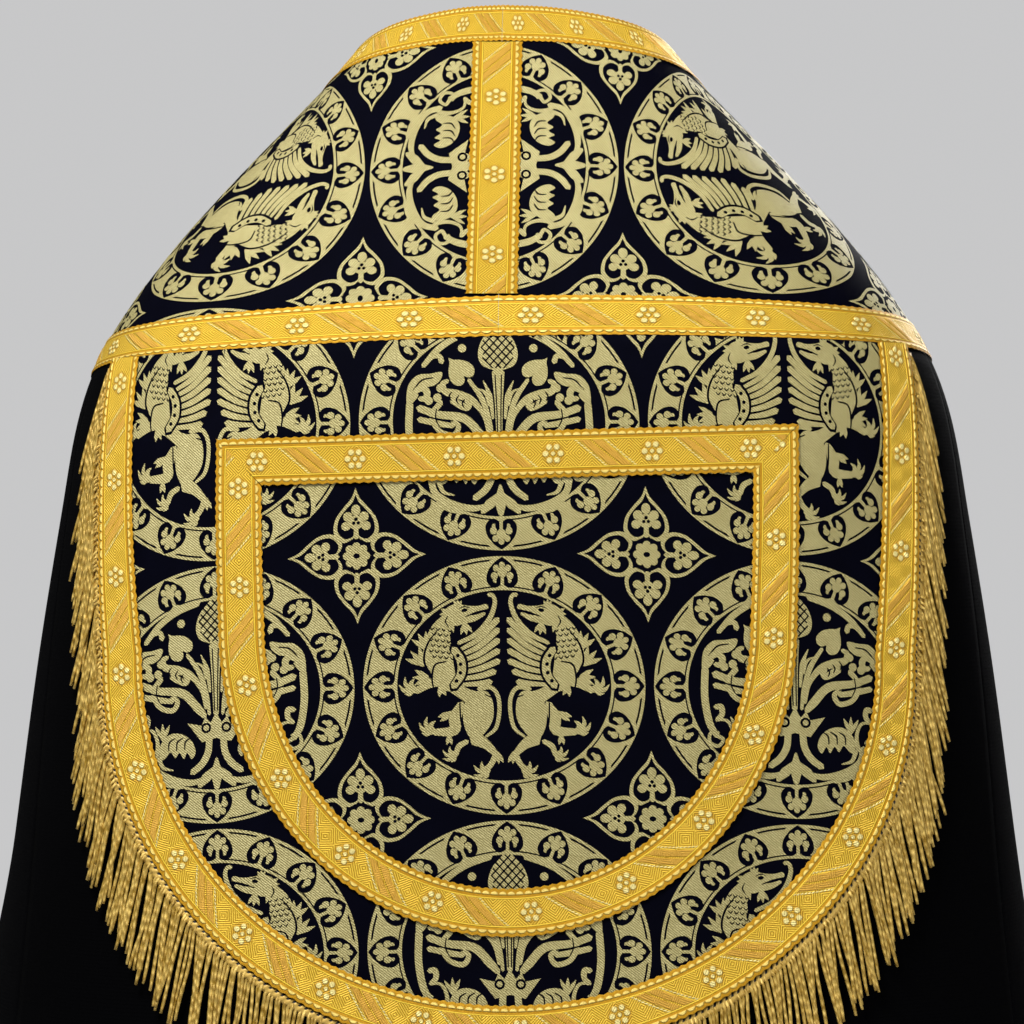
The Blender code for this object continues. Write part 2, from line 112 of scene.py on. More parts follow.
class Value:
    """A shader socket that takes part in Python sums: each operator adds its Math node."""

    def __init__(self, finish, socket):
        self.finish = finish
        self.socket = socket

    def maths(self, operation, *others, clamp=False):
        node = self.finish.tree.nodes.new("ShaderNodeMath")
        node.operation = operation
        node.use_clamp = clamp
        for slot, value in zip(node.inputs, (self, *others)):
            self.finish.feed(slot, value)
        return Value(self.finish, node.outputs[0])

    def __add__(self, other):
        return self.maths("ADD", other)

    def __sub__(self, other):
        return self.maths("SUBTRACT", other)

    def __mul__(self, other):
        return self.maths("MULTIPLY", other)

    def __truediv__(self, other):
        return self.maths("DIVIDE", other)

    def __rsub__(self, other):
        return (self * -1.0).maths("ADD", other)

    __radd__ = __add__
    __rmul__ = __mul__

    def __abs__(self):
        return self.maths("ABSOLUTE")

    def below(self, limit, blur):
        """1 where the value is under the limit and 0 over it, with a soft step as wide as blur."""
        return (0.5 + (limit - self) / blur).maths("MINIMUM", 1.0).maths("MAXIMUM", 0.0)

    def wrapped(self, period):
        """The value folded into one period, centred on zero."""
        return self.maths("WRAP", period / 2, -period / 2)


class Finish:
    """A material under construction; node() adds any node with its inputs."""

    def __init__(self, name):
        self.material = bpy.data.materials.new(name)
        self.material.use_nodes = True
        self.tree = self.material.node_tree
        self.shader = self.tree.nodes["Principled BSDF"]

    def feed(self, slot, value):
        if isinstance(value, Value):
            value = value.socket
        if isinstance(value, bpy.types.NodeSocket):
            self.tree.links.new(value, slot)
        else:
            slot.default_value = value

    def node(self, kind, **inputs):
        node = self.tree.nodes.new("ShaderNode" + kind)
        for key, value in inputs.items():
            self.feed(node.inputs[key], value)
        return Value(self, node.outputs[0])

    def mixed(self, factor, first, second):
        """Colour mix of two colours or links by a factor."""
        node = self.tree.nodes.new("ShaderNodeMix")
        node.data_type = "RGBA"
        self.feed(node.inputs["Factor"], factor)
        for slot, colour in zip([s for s in node.inputs if s.type == "RGBA"], (first, second)):
            self.feed(slot, (*colour, 1.0) if isinstance(colour, tuple) else colour)
        return Value(self, [s for s in node.outputs if s.type == "RGBA"][0])

    def cloth_axes(self):
        """Distances along and across the cloth, read from the piece's UV map, in metres."""
        split = self.tree.nodes.new("ShaderNodeSeparateXYZ")
        mapped = self.tree.nodes.new("ShaderNodeUVMap")
        mapped.uv_map = "cloth"
        self.tree.links.new(mapped.outputs[0], split.inputs[0])
        return Value(self, split.outputs[0]), Value(self, split.outputs[1])

    def close(self, colour, roughness, height=None, distance=0.001, strength=1.0, **fixed):
        """Joins colour, roughness, relief and fixed settings to the shader and gives the material."""
        self.feed(self.shader.inputs["Base Color"], colour)
        self.feed(self.shader.inputs["Roughness"], roughness)
        for key, value in fixed.items():
            self.shader.inputs[key.replace("_", " ")].default_value = value
        if height is not None:
            bump = self.node("Bump", Height=height, Distance=distance, Strength=strength)
            self.feed(self.shader.inputs["Normal"], bump)
        return self.material


floor_finish = Finish("pale_floor")
floor_grain = floor_finish.node("TexNoise", Scale=3.0, Detail=3.0)
floor_finish.close(floor_finish.mixed(floor_grain, (0.72, 0.72, 0.725), (0.78, 0.78, 0.785)), 0.85)
ground = bmesh.new()
bmesh.ops.create_grid(ground, x_segments=8, y_segments=8, size=FLOOR_HALF_SIZE)
bmesh.ops.translate(ground, verts=ground.verts, vec=(0.0, 0.0, FLOOR_HEIGHT))
floor_mesh = bpy.data.meshes.new("floor")
ground.to_mesh(floor_mesh)
ground.free()
floor_mesh.materials.append(floor_finish.material)
floor = bpy.data.objects.new("floor", floor_mesh)
bpy.context.scene.collection.objects.link(floor)


# The cloak: plain black cloth with its straight edge at the neck and fronts and a full round hem, joined
# from three panels. It hangs hollow from the shoulders in soft folds that deepen to the hem.
CLOTH = 0.0020
SHOULDER_SEAM = -0.2275
BACK_HEM = -1.42
SIDE_HEM = -1.35
HEM_PLACES = (0.0, 0.6, 1.0)
BACK_SQUARENESS = 3.0
FRONT_SQUARENESS = 2.3
SHOULDER_LINE = 7.6
SHOULDER_LEAN = 0.0055
LEAN_END = 10.0
PANEL_SEAM = 0.5

# The worn form, a row for each level: height, half width, depth behind, depth in front
LEVELS = np.array((
    (0.030, 0.070, 0.048, 0.045),
    (0.000, 0.0905, 0.066, 0.062),
    (-0.033, 0.1142, 0.087, 0.080),
    (-0.074, 0.1520, 0.113, 0.100),
    (-0.115, 0.1906, 0.138, 0.117),
    (-0.155, 0.2261, 0.161, 0.130),
    (-0.196, 0.2576, 0.181, 0.141),
    (-0.236, 0.2816, 0.195, 0.149),
    (-0.277, 0.2958, 0.203, 0.156),
    (-0.338, 0.3066, 0.209, 0.163),
    (-0.440, 0.3228, 0.214, 0.172),
    (-0.600, 0.3441, 0.224, 0.182),
    (-0.900, 0.3900, 0.256, 0.198),
    (-1.450, 0.4760, 0.330, 0.236),
))

# The orphrey's cross lines over the shoulder, a row for each: inner angle from the centre back, inner
# height, outer angle, outer height
CROSS_LINES = np.array((
    (0.0, 0.000, 0.0, -0.2275), (26.0, -0.002, 21.0, -0.2285), (52.0, -0.010, 41.0, -0.2310),
    (74.0, -0.023, 60.0, -0.2345), (92.0, -0.037, 76.0, -0.2405), (107.0, -0.052, 90.0, -0.2480),
    (122.0, -0.073, 100.0, -0.2620), (137.0, -0.100, 105.5, -0.2860), (150.0, -0.142, 107.5, -0.3230),
    (158.0, -0.195, 109.0, -0.3580), (162.0, -0.260, 110.5, -0.4100), (163.5, -0.350, 112.0, -0.4830),
    (164.0, -0.500, 113.5, -0.6120), (163.5, -0.750, 115.5, -0.8300), (162.0, -1.000, 117.5, -1.0500),
    (160.0, -1.265, 119.0, -1.2750),
))

# Folds, a row for each: place round the cloth (-1 left front seam to 1 right), half width in the same
# measure, height where it starts, depth at the hem (outward is positive)
FOLDS = (
    (-0.91, 0.12, -0.40, 0.058), (-0.79, 0.12, -0.46, -0.050), (-0.67, 0.13, -0.56, 0.078),
    (-0.54, 0.13, -0.68, -0.056), (-0.41, 0.14, -0.72, 0.070), (-0.27, 0.13, -0.74, -0.050),
    (-0.15, 0.12, -0.74, 0.066), (-0.03, 0.13, -0.76, -0.056), (0.10, 0.13, -0.75, 0.074),
    (0.23, 0.13, -0.73, -0.060), (0.36, 0.13, -0.74, 0.064), (0.49, 0.13, -0.70, -0.054),
    (0.62, 0.14, -0.66, 0.080), (0.76, 0.13, -0.50, -0.048), (0.90, 0.12, -0.42, 0.062),
)
FOLD_GROWTH = 1.2
FRONT_EDGE_CALM = 0.08
CREASE_WANDER = 0.01
OUTWARD_RISE = 0.12

# Small creases between the folds, a row for each: place, half width, top height, bottom height, depth
CREASES = (
    (-0.93, 0.030, -0.34, -0.95, -0.0040), (-0.81, 0.035, -0.40, -1.30, 0.0045),
    (-0.66, 0.030, -0.75, -1.42, -0.0050), (-0.50, 0.035, -0.80, -1.30, 0.0040),
    (-0.34, 0.028, -0.78, -1.42, -0.0045), (-0.17, 0.030, -0.82, -1.20, 0.0035),
    (0.00, 0.025, -0.78, -1.42, -0.0040), (0.16, 0.030, -0.80, -1.36, 0.0045),
    (0.33, 0.028, -0.78, -1.15, -0.0040), (0.50, 0.032, -0.76, -1.42, 0.0050),
    (0.66, 0.030, -0.74, -1.25, -0.0045), (0.81, 0.034, -0.38, -1.38, 0.0050),
    (0.94, 0.026, -0.36, -0.90, -0.0035),
)


def cubic(values, knots, places):
    """Smooth curve through knots: values at ascending knot places, read at many places."""
    values, knots, places = (np.asarray(item, float) for item in (values, knots, places))
    slopes = np.empty(len(values))
    slopes[1:-1] = (values[2:] - values[:-2]) / (knots[2:] - knots[:-2])
    slopes[0] = (values[1] - values[0]) / (knots[1] - knots[0])
    slopes[-1] = (values[-1] - values[-2]) / (knots[-1] - knots[-2])
    index = np.clip(np.searchsorted(knots, places, side="right") - 1, 0, len(knots) - 2)
    span = knots[index + 1] - knots[index]
    part = (places - knots[index]) / span
    rise = values[index + 1] - values[index]
    start, end = slopes[index] * span, slopes[index + 1] * span
    return values[index] + part * (start + part * (3 * rise - 2 * start - end
                                                   + part * (start + end - 2 * rise)))


def form(angle, height):
    """Points of the worn form at angles from the centre back (degrees) and heights."""
    half_width, behind, ahead = (cubic(LEVELS[:, column], -LEVELS[:, 0], -height) for column in (1, 2, 3))
    across, along = np.sin(np.radians(angle)), np.cos(np.radians(angle))
    depth = np.where(along >= 0, behind, ahead)
    power = np.where(along >= 0, BACK_SQUARENESS, FRONT_SQUARENESS)
    share = (np.abs(across) / half_width) ** power + (np.abs(along) / depth) ** power
    radius = share ** (-1 / power)
    return np.stack((radius * across, -radius * along, height + 0 * radius), axis=-1)


def unit(vectors):
    return vectors / np.linalg.norm(vectors, axis=-1, keepdims=True)


def form_normal(angle, height):
    around = form(angle + 0.5, height) - form(angle - 0.5, height)
    down = form(angle, height - 0.002) - form(angle, height + 0.002)
    return unit(np.cross(down, around))


def on_form(angle, height, out=0.0):
    """Points that stand out from the form by a distance along its normal."""
    return form(angle, height) + np.asarray(out)[..., None] * form_normal(angle, height)


def blend(start, end, part):
    return start + part * (end - start)


def cross_line(place, column, side=1):
    """One column of the cross lines, read at many places; the outer edge leans to one shoulder."""
    found = cubic(CROSS_LINES[:, column], np.arange(len(CROSS_LINES)), place)
    lean = side * SHOULDER_LEAN * np.sin(np.pi * np.minimum(1.0, place / LEAN_END))
    return found + lean if column == 3 else found


def cloak_place(place, fall):
    """Angles and heights on the cloak: place -1 to 1 round it, fall 0 at its seam to 1 at its hem.

    It is a patch between its four edges: the seam, the hem, the centre back and the front edge.
    """
    share, side = np.abs(place), np.where(place < 0, -1, 1)
    last = len(CROSS_LINES) - 1.0
    hem_height = cubic((BACK_HEM, SIDE_HEM, CROSS_LINES[-1, 3]), HEM_PLACES, share)
    found = []
    for column, centre, hem in ((2, (0.0, 0.0), CROSS_LINES[-1, 2] * share),
                                (3, (SHOULDER_SEAM, BACK_HEM), hem_height)):
        top = cross_line(share * SHOULDER_LINE, column, side)
        front = cross_line(blend(SHOULDER_LINE, last, fall), column, side)
        corner, end = (cross_line(np.full_like(share, at), column, side) for at in (SHOULDER_LINE, last))
        edges = blend(top, hem, fall) + blend(blend(*centre, fall), front, share)
        corners = blend(blend(centre[0], corner, share), blend(centre[1], end, share), fall)
        found.append(edges - corners)
    return side * found[0], found[1]


def fold_depth(place, height):
    """How far folds and creases stand out from the form; they fade at the front edges."""
    depth = np.zeros_like(height)
    for centre, half_width, start, hem_depth in FOLDS:
        offset = np.minimum(1.0, np.abs(place - centre) / half_width)
        fallen = np.clip((start - height) / (start - BACK_HEM), 0.0, None)
        depth += hem_depth * fallen ** FOLD_GROWTH * (0.5 + 0.5 * np.cos(np.pi * offset))
    for centre, half_width, top, bottom, crease_depth in CREASES:
        offset = np.minimum(1.0, np.abs(place - centre - CREASE_WANDER * np.sin(height * 9)) / half_width)
        run = np.clip((top - height) / (top - bottom), 0.0, 1.0)
        depth += crease_depth * np.sin(np.pi * run) ** 0.7 * (0.5 + 0.5 * np.cos(np.pi * offset))
    return depth * np.minimum(1.0, (1.0 - np.abs(place)) / FRONT_EDGE_CALM)


def sheet_of_cloth(name, columns, rows, place, finish, thickness=0.0):
    """A flat grid laid on the form: place(u, v) gives its points and where they lie on the cloth."""
    flat = bmesh.new()
    bmesh.ops.create_grid(flat, x_segments=columns, y_segments=rows, size=0.5)
    mesh_data = bpy.data.meshes.new(name)
    flat.to_mesh(mesh_data)
    flat.free()
    points = np.empty(len(mesh_data.vertices) * 3)
    mesh_data.vertices.foreach_get("co", points)
    grid = points.reshape(-1, 3)[:, :2] + 0.5
    placed, cloth = place(grid[:, 0], grid[:, 1])
    return laid_mesh(name, mesh_data, placed, cloth, finish, thickness)


def laid_mesh(name, mesh_data, placed, cloth, finish, thickness=0.0, turned_out=True):
    """Moves a flat mesh's points to their places and stores where each lies on the cloth."""
    mesh_data.vertices.foreach_set("co", placed.astype(np.float32).ravel())
    layer = mesh_data.uv_layers.new(name="cloth")
    corners = np.empty(len(mesh_data.loops), dtype=np.int32)
    mesh_data.loops.foreach_get("vertex_index", corners)
    layer.data.foreach_set("uv", cloth[corners].astype(np.float32).ravel())
    mesh_data.update()
    face = mesh_data.polygons[len(mesh_data.polygons) // 2]
    outward = Vector((face.center.x, face.center.y, OUTWARD_RISE))
    if turned_out and face.normal.dot(outward) < 0:
        mesh_data.flip_normals()
    mesh_data.shade_smooth()
    mesh_data.materials.append(finish)
    piece = bpy.data.objects.new(name, mesh_data)
    bpy.context.scene.collection.objects.link(piece)
    if thickness:
        shell = piece.modifiers.new("cloth thickness", "SOLIDIFY")
        shell.thickness = thickness
        shell.offset = -1.0
    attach(piece, "root")
    return piece


CLOAK_THREADS = 2600.0
cloak_finish = Finish("black_cloth")
run, rise = cloak_finish.cloth_axes()
weave_lines = ((run * CLOAK_THREADS).maths("SINE") + (rise * CLOAK_THREADS).maths("SINE")) * 0.25
nap = cloak_finish.node("TexNoise", Scale=160.0, Detail=3.0)
worn = cloak_finish.node("TexNoise", Scale=5.0, Detail=2.0)
cloak_colour = cloak_finish.mixed(worn, (0.0003, 0.0003, 0.0005), (0.0010, 0.0010, 0.0014))
black_cloth = cloak_finish.close(cloak_colour, 0.82 + 0.12 * nap, weave_lines + nap, 0.0004, 0.6,
                                 Specular_IOR_Level=0.022, Sheen_Weight=0.001, Sheen_Roughness=0.6)


def cloak_panel(first, last):
    def place(u, v):
        around, fall = blend(first, last, u), 1.0 - v
        angle, height = cloak_place(around, fall)
        return (on_form(angle, height, fold_depth(around, height)),
                np.stack((around * CLOAK_HALF_ROUND, height), axis=-1))
    return place


# The cloak's panels, a row for each: name, solid, first and last place round the cloth, columns, flat
# size, area
CLOAK_ROWS = 90
CLOAK_HALF_ROUND = 2.2
CLOAK_PANELS = (
    ("cloak_left", "body_left", -1.0, -PANEL_SEAM, 64, (0.56, 1.14), 0.41),
    ("cloak_back", "body_back", -PANEL_SEAM, PANEL_SEAM, 110, (1.18, 1.24), 0.96),
    ("cloak_right", "body_right", PANEL_SEAM, 1.0, 64, (0.56, 1.14), 0.41),
)
for name, node, first, last, columns, flat, area in CLOAK_PANELS:
    panel = sheet_of_cloth(name, columns, CLOAK_ROWS, cloak_panel(first, last), black_cloth, CLOTH)
    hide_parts(node)


# The orphrey: a shaped band of interlined brocade on the cloak's straight edge, in two halves joined at
# the centre back. It lies round the neck, over the shoulders and down both fronts to the hem.
BRAID = 0.0012
BRAID_WIDTH = 0.0296
SEAM = 0.0003
SEAM_OFF_CENTRE = (-0.011, -0.0155)
SHIFT_FADE = 3.0
LENGTH_STEPS = 600
WIDTH_STEPS = 8
EASE_LENGTHS = (0.075, 0.210)
ORPHREY_COLUMNS = 240
ORPHREY_ROWS = 26
SIDES = ((-1, "left"), (1, "right"))


def strip(place, across, side):
    """Angles and heights on the orphrey: place along it, part of its width, side -1 or 1."""
    angle = side * blend(cross_line(place, 0), cross_line(place, 2), across)
    height = blend(cross_line(place, 1), cross_line(place, 3, side), across)
    sideways = blend(*SEAM_OFF_CENTRE, across) + side * SEAM / 2
    half_width = cubic(LEVELS[:, 1], -LEVELS[:, 0], -height)
    shifted = np.degrees(np.arctan2(sideways, half_width))
    return angle + shifted * np.maximum(0.0, 1.0 - place / SHIFT_FADE) ** 2, height


def walked(points):
    """Distances walked along a line of points."""
    return np.concatenate(((0.0,), np.cumsum(np.linalg.norm(np.diff(points, axis=0), axis=1))))


# Each half is measured along lines at steps of its width: the length of the middle one and the width at
# many stations, and near the join each line's length as a share of the middle one's
station_places = np.linspace(0.0, len(CROSS_LINES) - 1, LENGTH_STEPS)
station_lengths, station_widths, row_shares = {}, {}, {}
for side, _ in SIDES:
    lines = [form(*strip(station_places, np.full_like(station_places, step / WIDTH_STEPS), side))
             for step in range(WIDTH_STEPS + 1)]
    lengths = np.array([walked(line) for line in lines])
    middle_lengths = lengths[WIDTH_STEPS // 2]
    station_lengths[side] = middle_lengths
    station_widths[side] = sum(np.linalg.norm(two - one, axis=-1) for one, two in zip(lines, lines[1:]))
    eased = np.searchsorted(middle_lengths, EASE_LENGTHS[0])
    row_shares[side] = lengths[:, eased] / middle_lengths[eased]
orphrey_lengths = {side: lengths[-1] for side, lengths in station_lengths.items()}


def on_orphrey(along, across, side, out):
    """Points on the orphrey at distances along its middle line and parts of its width."""
    place = np.interp(along, station_lengths[side], station_places)
    return on_form(*strip(place, across, side), out)


def width_at(along, side):
    """The orphrey's width at distances along its middle line."""
    return np.interp(along, station_lengths[side], station_widths[side])


BROCADE_THREADS = 5200.0
brocade_finish = Finish("brocade_ground")
run, rise = brocade_finish.cloth_axes()
ground_rib = ((run + rise) * BROCADE_THREADS).maths("SINE") * 0.3
ground_mottle = brocade_finish.node("TexNoise", Scale=22.0, Detail=3.0)
ground_nap = brocade_finish.node("TexNoise", Scale=900.0, Detail=1.0)
ground_colour = brocade_finish.mixed(ground_mottle, (0.0004, 0.0004, 0.0022), (0.0009, 0.0010, 0.0046))
brocade_ground = brocade_finish.close(ground_colour, 0.66 + 0.2 * ground_nap, ground_rib + ground_nap,
                                      0.0003, 0.5, Specular_IOR_Level=0.025)


def orphrey_panel(side):
    def place(u, v):
        along = u * orphrey_lengths[side]
        wide = width_at(along, side)
        across = v * (1.0 - SEAM / wide)
        return on_orphrey(along, across, side, 0.0), np.stack((across * wide, -along), axis=-1)
    return place


for side, word in SIDES:
    panel = sheet_of_cloth("orphrey_cloth_" + word, ORPHREY_COLUMNS, ORPHREY_ROWS, orphrey_panel(side),
                           brocade_ground, CLOTH)
    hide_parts("orphrey_" + word)


# The hood: a shield of stiffened brocade that hangs from the orphrey's lower edge on the back. It stands
# a little away from the cloak, and its lower half ripples softly where the braid draws the edge in.
HOOD_CLOTH = 0.0025
HOOD_CENTRE = -0.005
HOOD_SEAM = 0.0010
HOOD_TOP = SHOULDER_SEAM - HOOD_SEAM
HOOD_LIFT = (0.0012, 0.0060)
BACK_HEIGHTS = np.linspace(0.02, -0.82, 85)
BACK_ANGLES = np.linspace(0.0, 110.0, 221)
BACK_LENGTHS = np.linspace(0.0, 0.5, 126)
HOOD_COLUMNS = 110
HOOD_ROWS = 72

# A shield's outline: half width at its top, half width where its round begins, that height, the
# round's depth
HOOD_OUTLINE = (0.2750, 0.2625, -0.431, 0.245)

# Ripples of the hood, a row for each: distance from its centre, height, half width, half length, depth
RIPPLES = (
    (-0.205, -0.520, 0.050, 0.110, -0.0020), (-0.120, -0.610, 0.040, 0.080, 0.0016),
    (0.000, -0.600, 0.060, 0.100, -0.0014), (0.120, -0.590, 0.035, 0.085, 0.0022),
    (0.165, -0.545, 0.028, 0.070, -0.0028), (0.215, -0.500, 0.045, 0.120, 0.0022),
    (-0.240, -0.350, 0.040, 0.090, 0.0014), (0.235, -0.340, 0.035, 0.080, -0.0016),
)

# Angles of the back at steps of height and of distance along the cloth from the centre back
ring_grid = np.meshgrid(BACK_HEIGHTS, BACK_ANGLES, indexing="ij")
ring_steps = np.linalg.norm(np.diff(form(ring_grid[1], ring_grid[0]), axis=1), axis=2)
ring_lengths = np.concatenate((np.zeros((len(BACK_HEIGHTS), 1)), np.cumsum(ring_steps, axis=1)), axis=1)
angle_table = np.array([np.interp(BACK_LENGTHS, row, BACK_ANGLES) for row in ring_lengths])


def on_back(along, height, out=0.0):
    """Points of the back at distances along the cloth from the centre back."""
    column = np.clip(np.abs(along) / BACK_LENGTHS[1], 0.0, len(BACK_LENGTHS) - 1.001)
    row = np.clip((BACK_HEIGHTS[0] - height) / (BACK_HEIGHTS[0] - BACK_HEIGHTS[1]),
                  0.0, len(BACK_HEIGHTS) - 1.001)
    left, top = column.astype(int), row.astype(int)
    upper = blend(angle_table[top, left], angle_table[top, left + 1], column - left)
    lower = blend(angle_table[top + 1, left], angle_table[top + 1, left + 1], column - left)
    return on_form(np.copysign(blend(upper, lower, row - top), along), height, out)


def hood_lift(along, height):
    """How far the hood stands off the cloak, ripples included."""
    fallen = (HOOD_TOP - height) / (HOOD_TOP - HOOD_OUTLINE[2] + HOOD_OUTLINE[3])
    lift = blend(*HOOD_LIFT, np.clip(fallen, 0.0, 1.0))
    for centre, middle, half_width, half_length, depth in RIPPLES:
        reach = ((along - centre) / half_width) ** 2 + ((height - middle) / half_length) ** 2
        lift = lift + depth * np.exp(-reach)
    return lift


def on_hood(along, height, out=0.0):
    """Points on the hood's face at distances along it from its middle, and heights."""
    return on_back(along + HOOD_CENTRE, height, hood_lift(along, height) + HOOD_CLOTH + out)


seam_places = np.linspace(0.0, SHOULDER_LINE, 200)
seam_lines = [form(cross_line(seam_places, 2), cross_line(seam_places, 3, side)) for side, _ in SIDES]


def hood_top(along):
    """Heights of the hood's upper edge, just under the orphrey's outer edge."""
    distance = along + HOOD_CENTRE
    left, right = (np.interp(np.abs(distance), walked(line), line[:, 2]) for line in seam_lines)
    return np.where(distance < 0, left, right) - HOOD_SEAM


def side_width(outline, top, height):
    """Half widths of a shield at heights of its side, which curves in from the top to the round."""
    part = np.clip((top - height) / (top - outline[2]), 0.0, 1.0)
    return blend(outline[0], outline[1], part ** 2)


def hood_panel(u, v):
    turn = math.pi * (u - 0.5)
    top = hood_top(HOOD_OUTLINE[0] * np.sin(turn))
    height = blend(HOOD_OUTLINE[2] - HOOD_OUTLINE[3] * np.cos(turn), top, v)
    along = side_width(HOOD_OUTLINE, top, height) * np.sin(turn)
    return on_hood(along, height), np.stack((along, height), axis=-1)


hood_cloth = sheet_of_cloth("hood_cloth", HOOD_COLUMNS, HOOD_ROWS, hood_panel, brocade_ground, HOOD_CLOTH)
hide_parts("hood")


# The morse: a tab of the same brocade that joins the fronts at the chest, over both neck braids.
# It is stiffened, bends round the chest, and its hook is hidden behind it.
MORSE_HALF_WIDTH = 0.088
MORSE_TOP = -0.205
MORSE_BOTTOM = -0.285
MORSE_CLOTH = 0.003
MORSE_LIFT = 0.0021
MORSE_COLUMNS = 40
MORSE_ROWS = 20


def on_morse(sideways, height, out=0.0):
    """Points on the morse's face at distances from the middle of the chest."""
    ahead = cubic(LEVELS[:, 3], -LEVELS[:, 0], -height)
    angle = 180.0 - np.degrees(np.arctan2(sideways, ahead))
    return on_form(angle, height, MORSE_LIFT + MORSE_CLOTH + out)


def morse_panel(u, v):
    sideways = MORSE_HALF_WIDTH * (2 * u - 1)
    height = blend(MORSE_BOTTOM, MORSE_TOP, v)
    return on_morse(sideways, height), np.stack((sideways, height), axis=-1)


morse_cloth = sheet_of_cloth("morse_cloth", MORSE_COLUMNS, MORSE_ROWS, morse_panel, brocade_ground,
                             MORSE_CLOTH)
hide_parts("morse")


# The brocade's woven figures, charted in millimetres from each figure's centre: roundels with a ring of
# hearts round a pair of griffins or a plant in scrolls, and a quatrefoil of hearts between them.
# A pale gold weft floats over the dark ground, so the figures stand a hair above it.
WEFT_REPEAT = 0.1815
WARP_REPEAT = 0.1650
RING_RADII = (88.0, 80.7)
RING_BAND = (1.8, 3.0, 18.6, 19.5)
RING_HEARTS = 16
RING_HEART_INSET = 10.4
RING_GAP = (10.9, 10.2)
RING_WIDTH = 21.2
RING_CORNERS = 120
GOLD, DARK = True, False


def smooth(points, steps=5, closed=False):
    """Points of a smooth curve through a few given points."""
    given = np.array(points, float)
    if closed:
        given = np.concatenate((given[-1:], given, given[:2]))
    else:
        given = np.concatenate((2 * given[:1] - given[1:2], given, 2 * given[-1:] - given[-2:-1]))
    curve = []
    for before, one, two, after in zip(given, given[1:], given[2:], given[3:]):
        for part in np.arange(steps) / steps:
            curve.append(0.5 * (2 * one + part * (two - before)
                                + part ** 2 * (2 * before - 5 * one + 4 * two - after)
                                + part ** 3 * (3 * one - before - 3 * two + after)))
    if not closed:
        curve.append(given[-2])
    return np.array(curve)


def turned(points, turn):
    """Flat points turned about their centre, in degrees."""
    c, s = math.cos(math.radians(turn)), math.sin(math.radians(turn))
    return points @ np.array(((c, s), (-s, c)))


def toward(x, y, turn, reach):
    """The point at a distance from x, y in a direction given in degrees."""
    return x + reach * math.cos(math.radians(turn)), y + reach * math.sin(math.radians(turn))


class Chart:
    """A woven figure: outlines painted one over another, gold or dark."""

    def __init__(self):
        self.shapes = []

    def shape(self, points, colour=GOLD, steps=4):
        self.shapes.append((smooth(points, steps, closed=True), colour))

    def sharp(self, points, colour=GOLD):
        self.shapes.append((np.array(points, float), colour))

    def disc(self, x, y, across, tall=None, turn=0.0, colour=GOLD, count=14):
        angle = np.arange(count) / count * 2 * np.pi
        flat = np.stack((across * np.cos(angle), (tall or across) * np.sin(angle)), axis=-1)
        self.shapes.append((turned(flat, turn) + (x, y), colour))

    def stroke(self, points, widths, colour=GOLD, steps=5):
        """A drawn line whose width runs through the given widths."""
        curve = smooth(points, steps)
        widths = np.atleast_1d(widths).astype(float)
        wide = np.interp(np.linspace(0, 1, len(curve)), np.linspace(0, 1, len(widths)), widths)
        run = np.gradient(curve, axis=0)
        run /= np.linalg.norm(run, axis=1, keepdims=True)
        beside = np.stack((-run[:, 1], run[:, 0]), axis=-1) * wide[:, None] / 2
        ends = run[-1] * wide[-1] * 0.45, -run[0] * wide[0] * 0.45
        outline = np.concatenate((curve + beside, (curve[-1] + ends[0])[None],
                                  (curve - beside)[::-1], (curve[0] + ends[1])[None]))
        self.shapes.append((outline, colour))

    def paw(self, x, y, turn, size=1.0):
        """Four claws spread about a direction, with a pad at their root."""
        self.disc(x, y, 2.5 * size)
        for spread, reach in ((-62, 6.5), (-22, 9.0), (18, 9.0), (64, 6.0)):
            knuckle = toward(x, y, turn + spread, 0.6 * reach * size)
            tip = toward(x, y, turn + spread - 24, reach * size)
            self.stroke(((x, y), knuckle, tip), (2.6 * size, 2.9 * size, 0.5), steps=3)

    def tuft(self, x, y, turns, reach, width):
        """Pointed locks that spread from one root, a direction for each."""
        for turn in turns:
            self.stroke(((x, y), toward(x, y, turn, 0.6 * reach), toward(x, y, turn, reach)),
                        (width * 0.7, width, 0.4), steps=3)

    def placed(self, other, x=0.0, y=0.0, turn=0.0):
        """Paints another chart here, turned about its centre."""
        self.shapes += [(turned(points, turn) + (x, y), colour) for points, colour in other.shapes]

    def mirrored(self):
        """Repeats all shapes, mirrored about the middle line."""
        self.shapes += [(points * (-1.0, 1.0), colour) for points, colour in self.shapes]


def heart_outline(size, tip, waist=0.19):
    """A heart with its point up at a height over its centre."""
    half = ((0.0, -0.52), (0.22, -0.86), (0.62, -0.94), (0.98, -0.55), (0.92, 0.05), (0.58, 0.55))
    neck = ((waist, 0.55 + 0.5 * (tip / size - 0.55)),)
    right = np.array(half + neck) * size
    left = right[:0:-1] * (-1.0, 1.0)
    point = np.array(((0.0, tip),))
    upward = smooth(np.concatenate((right, point)), 4)
    downward = smooth(np.concatenate((point, left, right[:1])), 4)
    return np.concatenate((upward[:-1], downward[:-1]))


ring_leaf = Chart()
ring_leaf.sharp(heart_outline(9.9, 10.0, 0.33), DARK)
ring_leaf.disc(0.0, 0.4, 3.1, 3.4, count=12)
for x, y, wide in ((0.0, 4.9, 1.9), (-3.7, 2.9, 2.0), (3.7, 2.9, 2.0), (-4.9, -1.9, 2.2), (4.9, -1.9, 2.2)):
    ring_leaf.disc(x, y, wide, wide * 1.1, count=9)
for side in (-1, 1):
    ring_leaf.disc(side * 4.4, -4.9, 1.5, count=8)
    ring_leaf.stroke(((side * 0.9, -7.4), (side * 2.7, -6.6), (side * 3.0, -4.4), (side * 1.9, -3.4)),
                     (1.3, 1.5, 1.3, 0.9), DARK, 3)
ring_leaf.stroke(((0.0, -1.0), (0.0, -9.4)), (1.9, 2.2), steps=2)


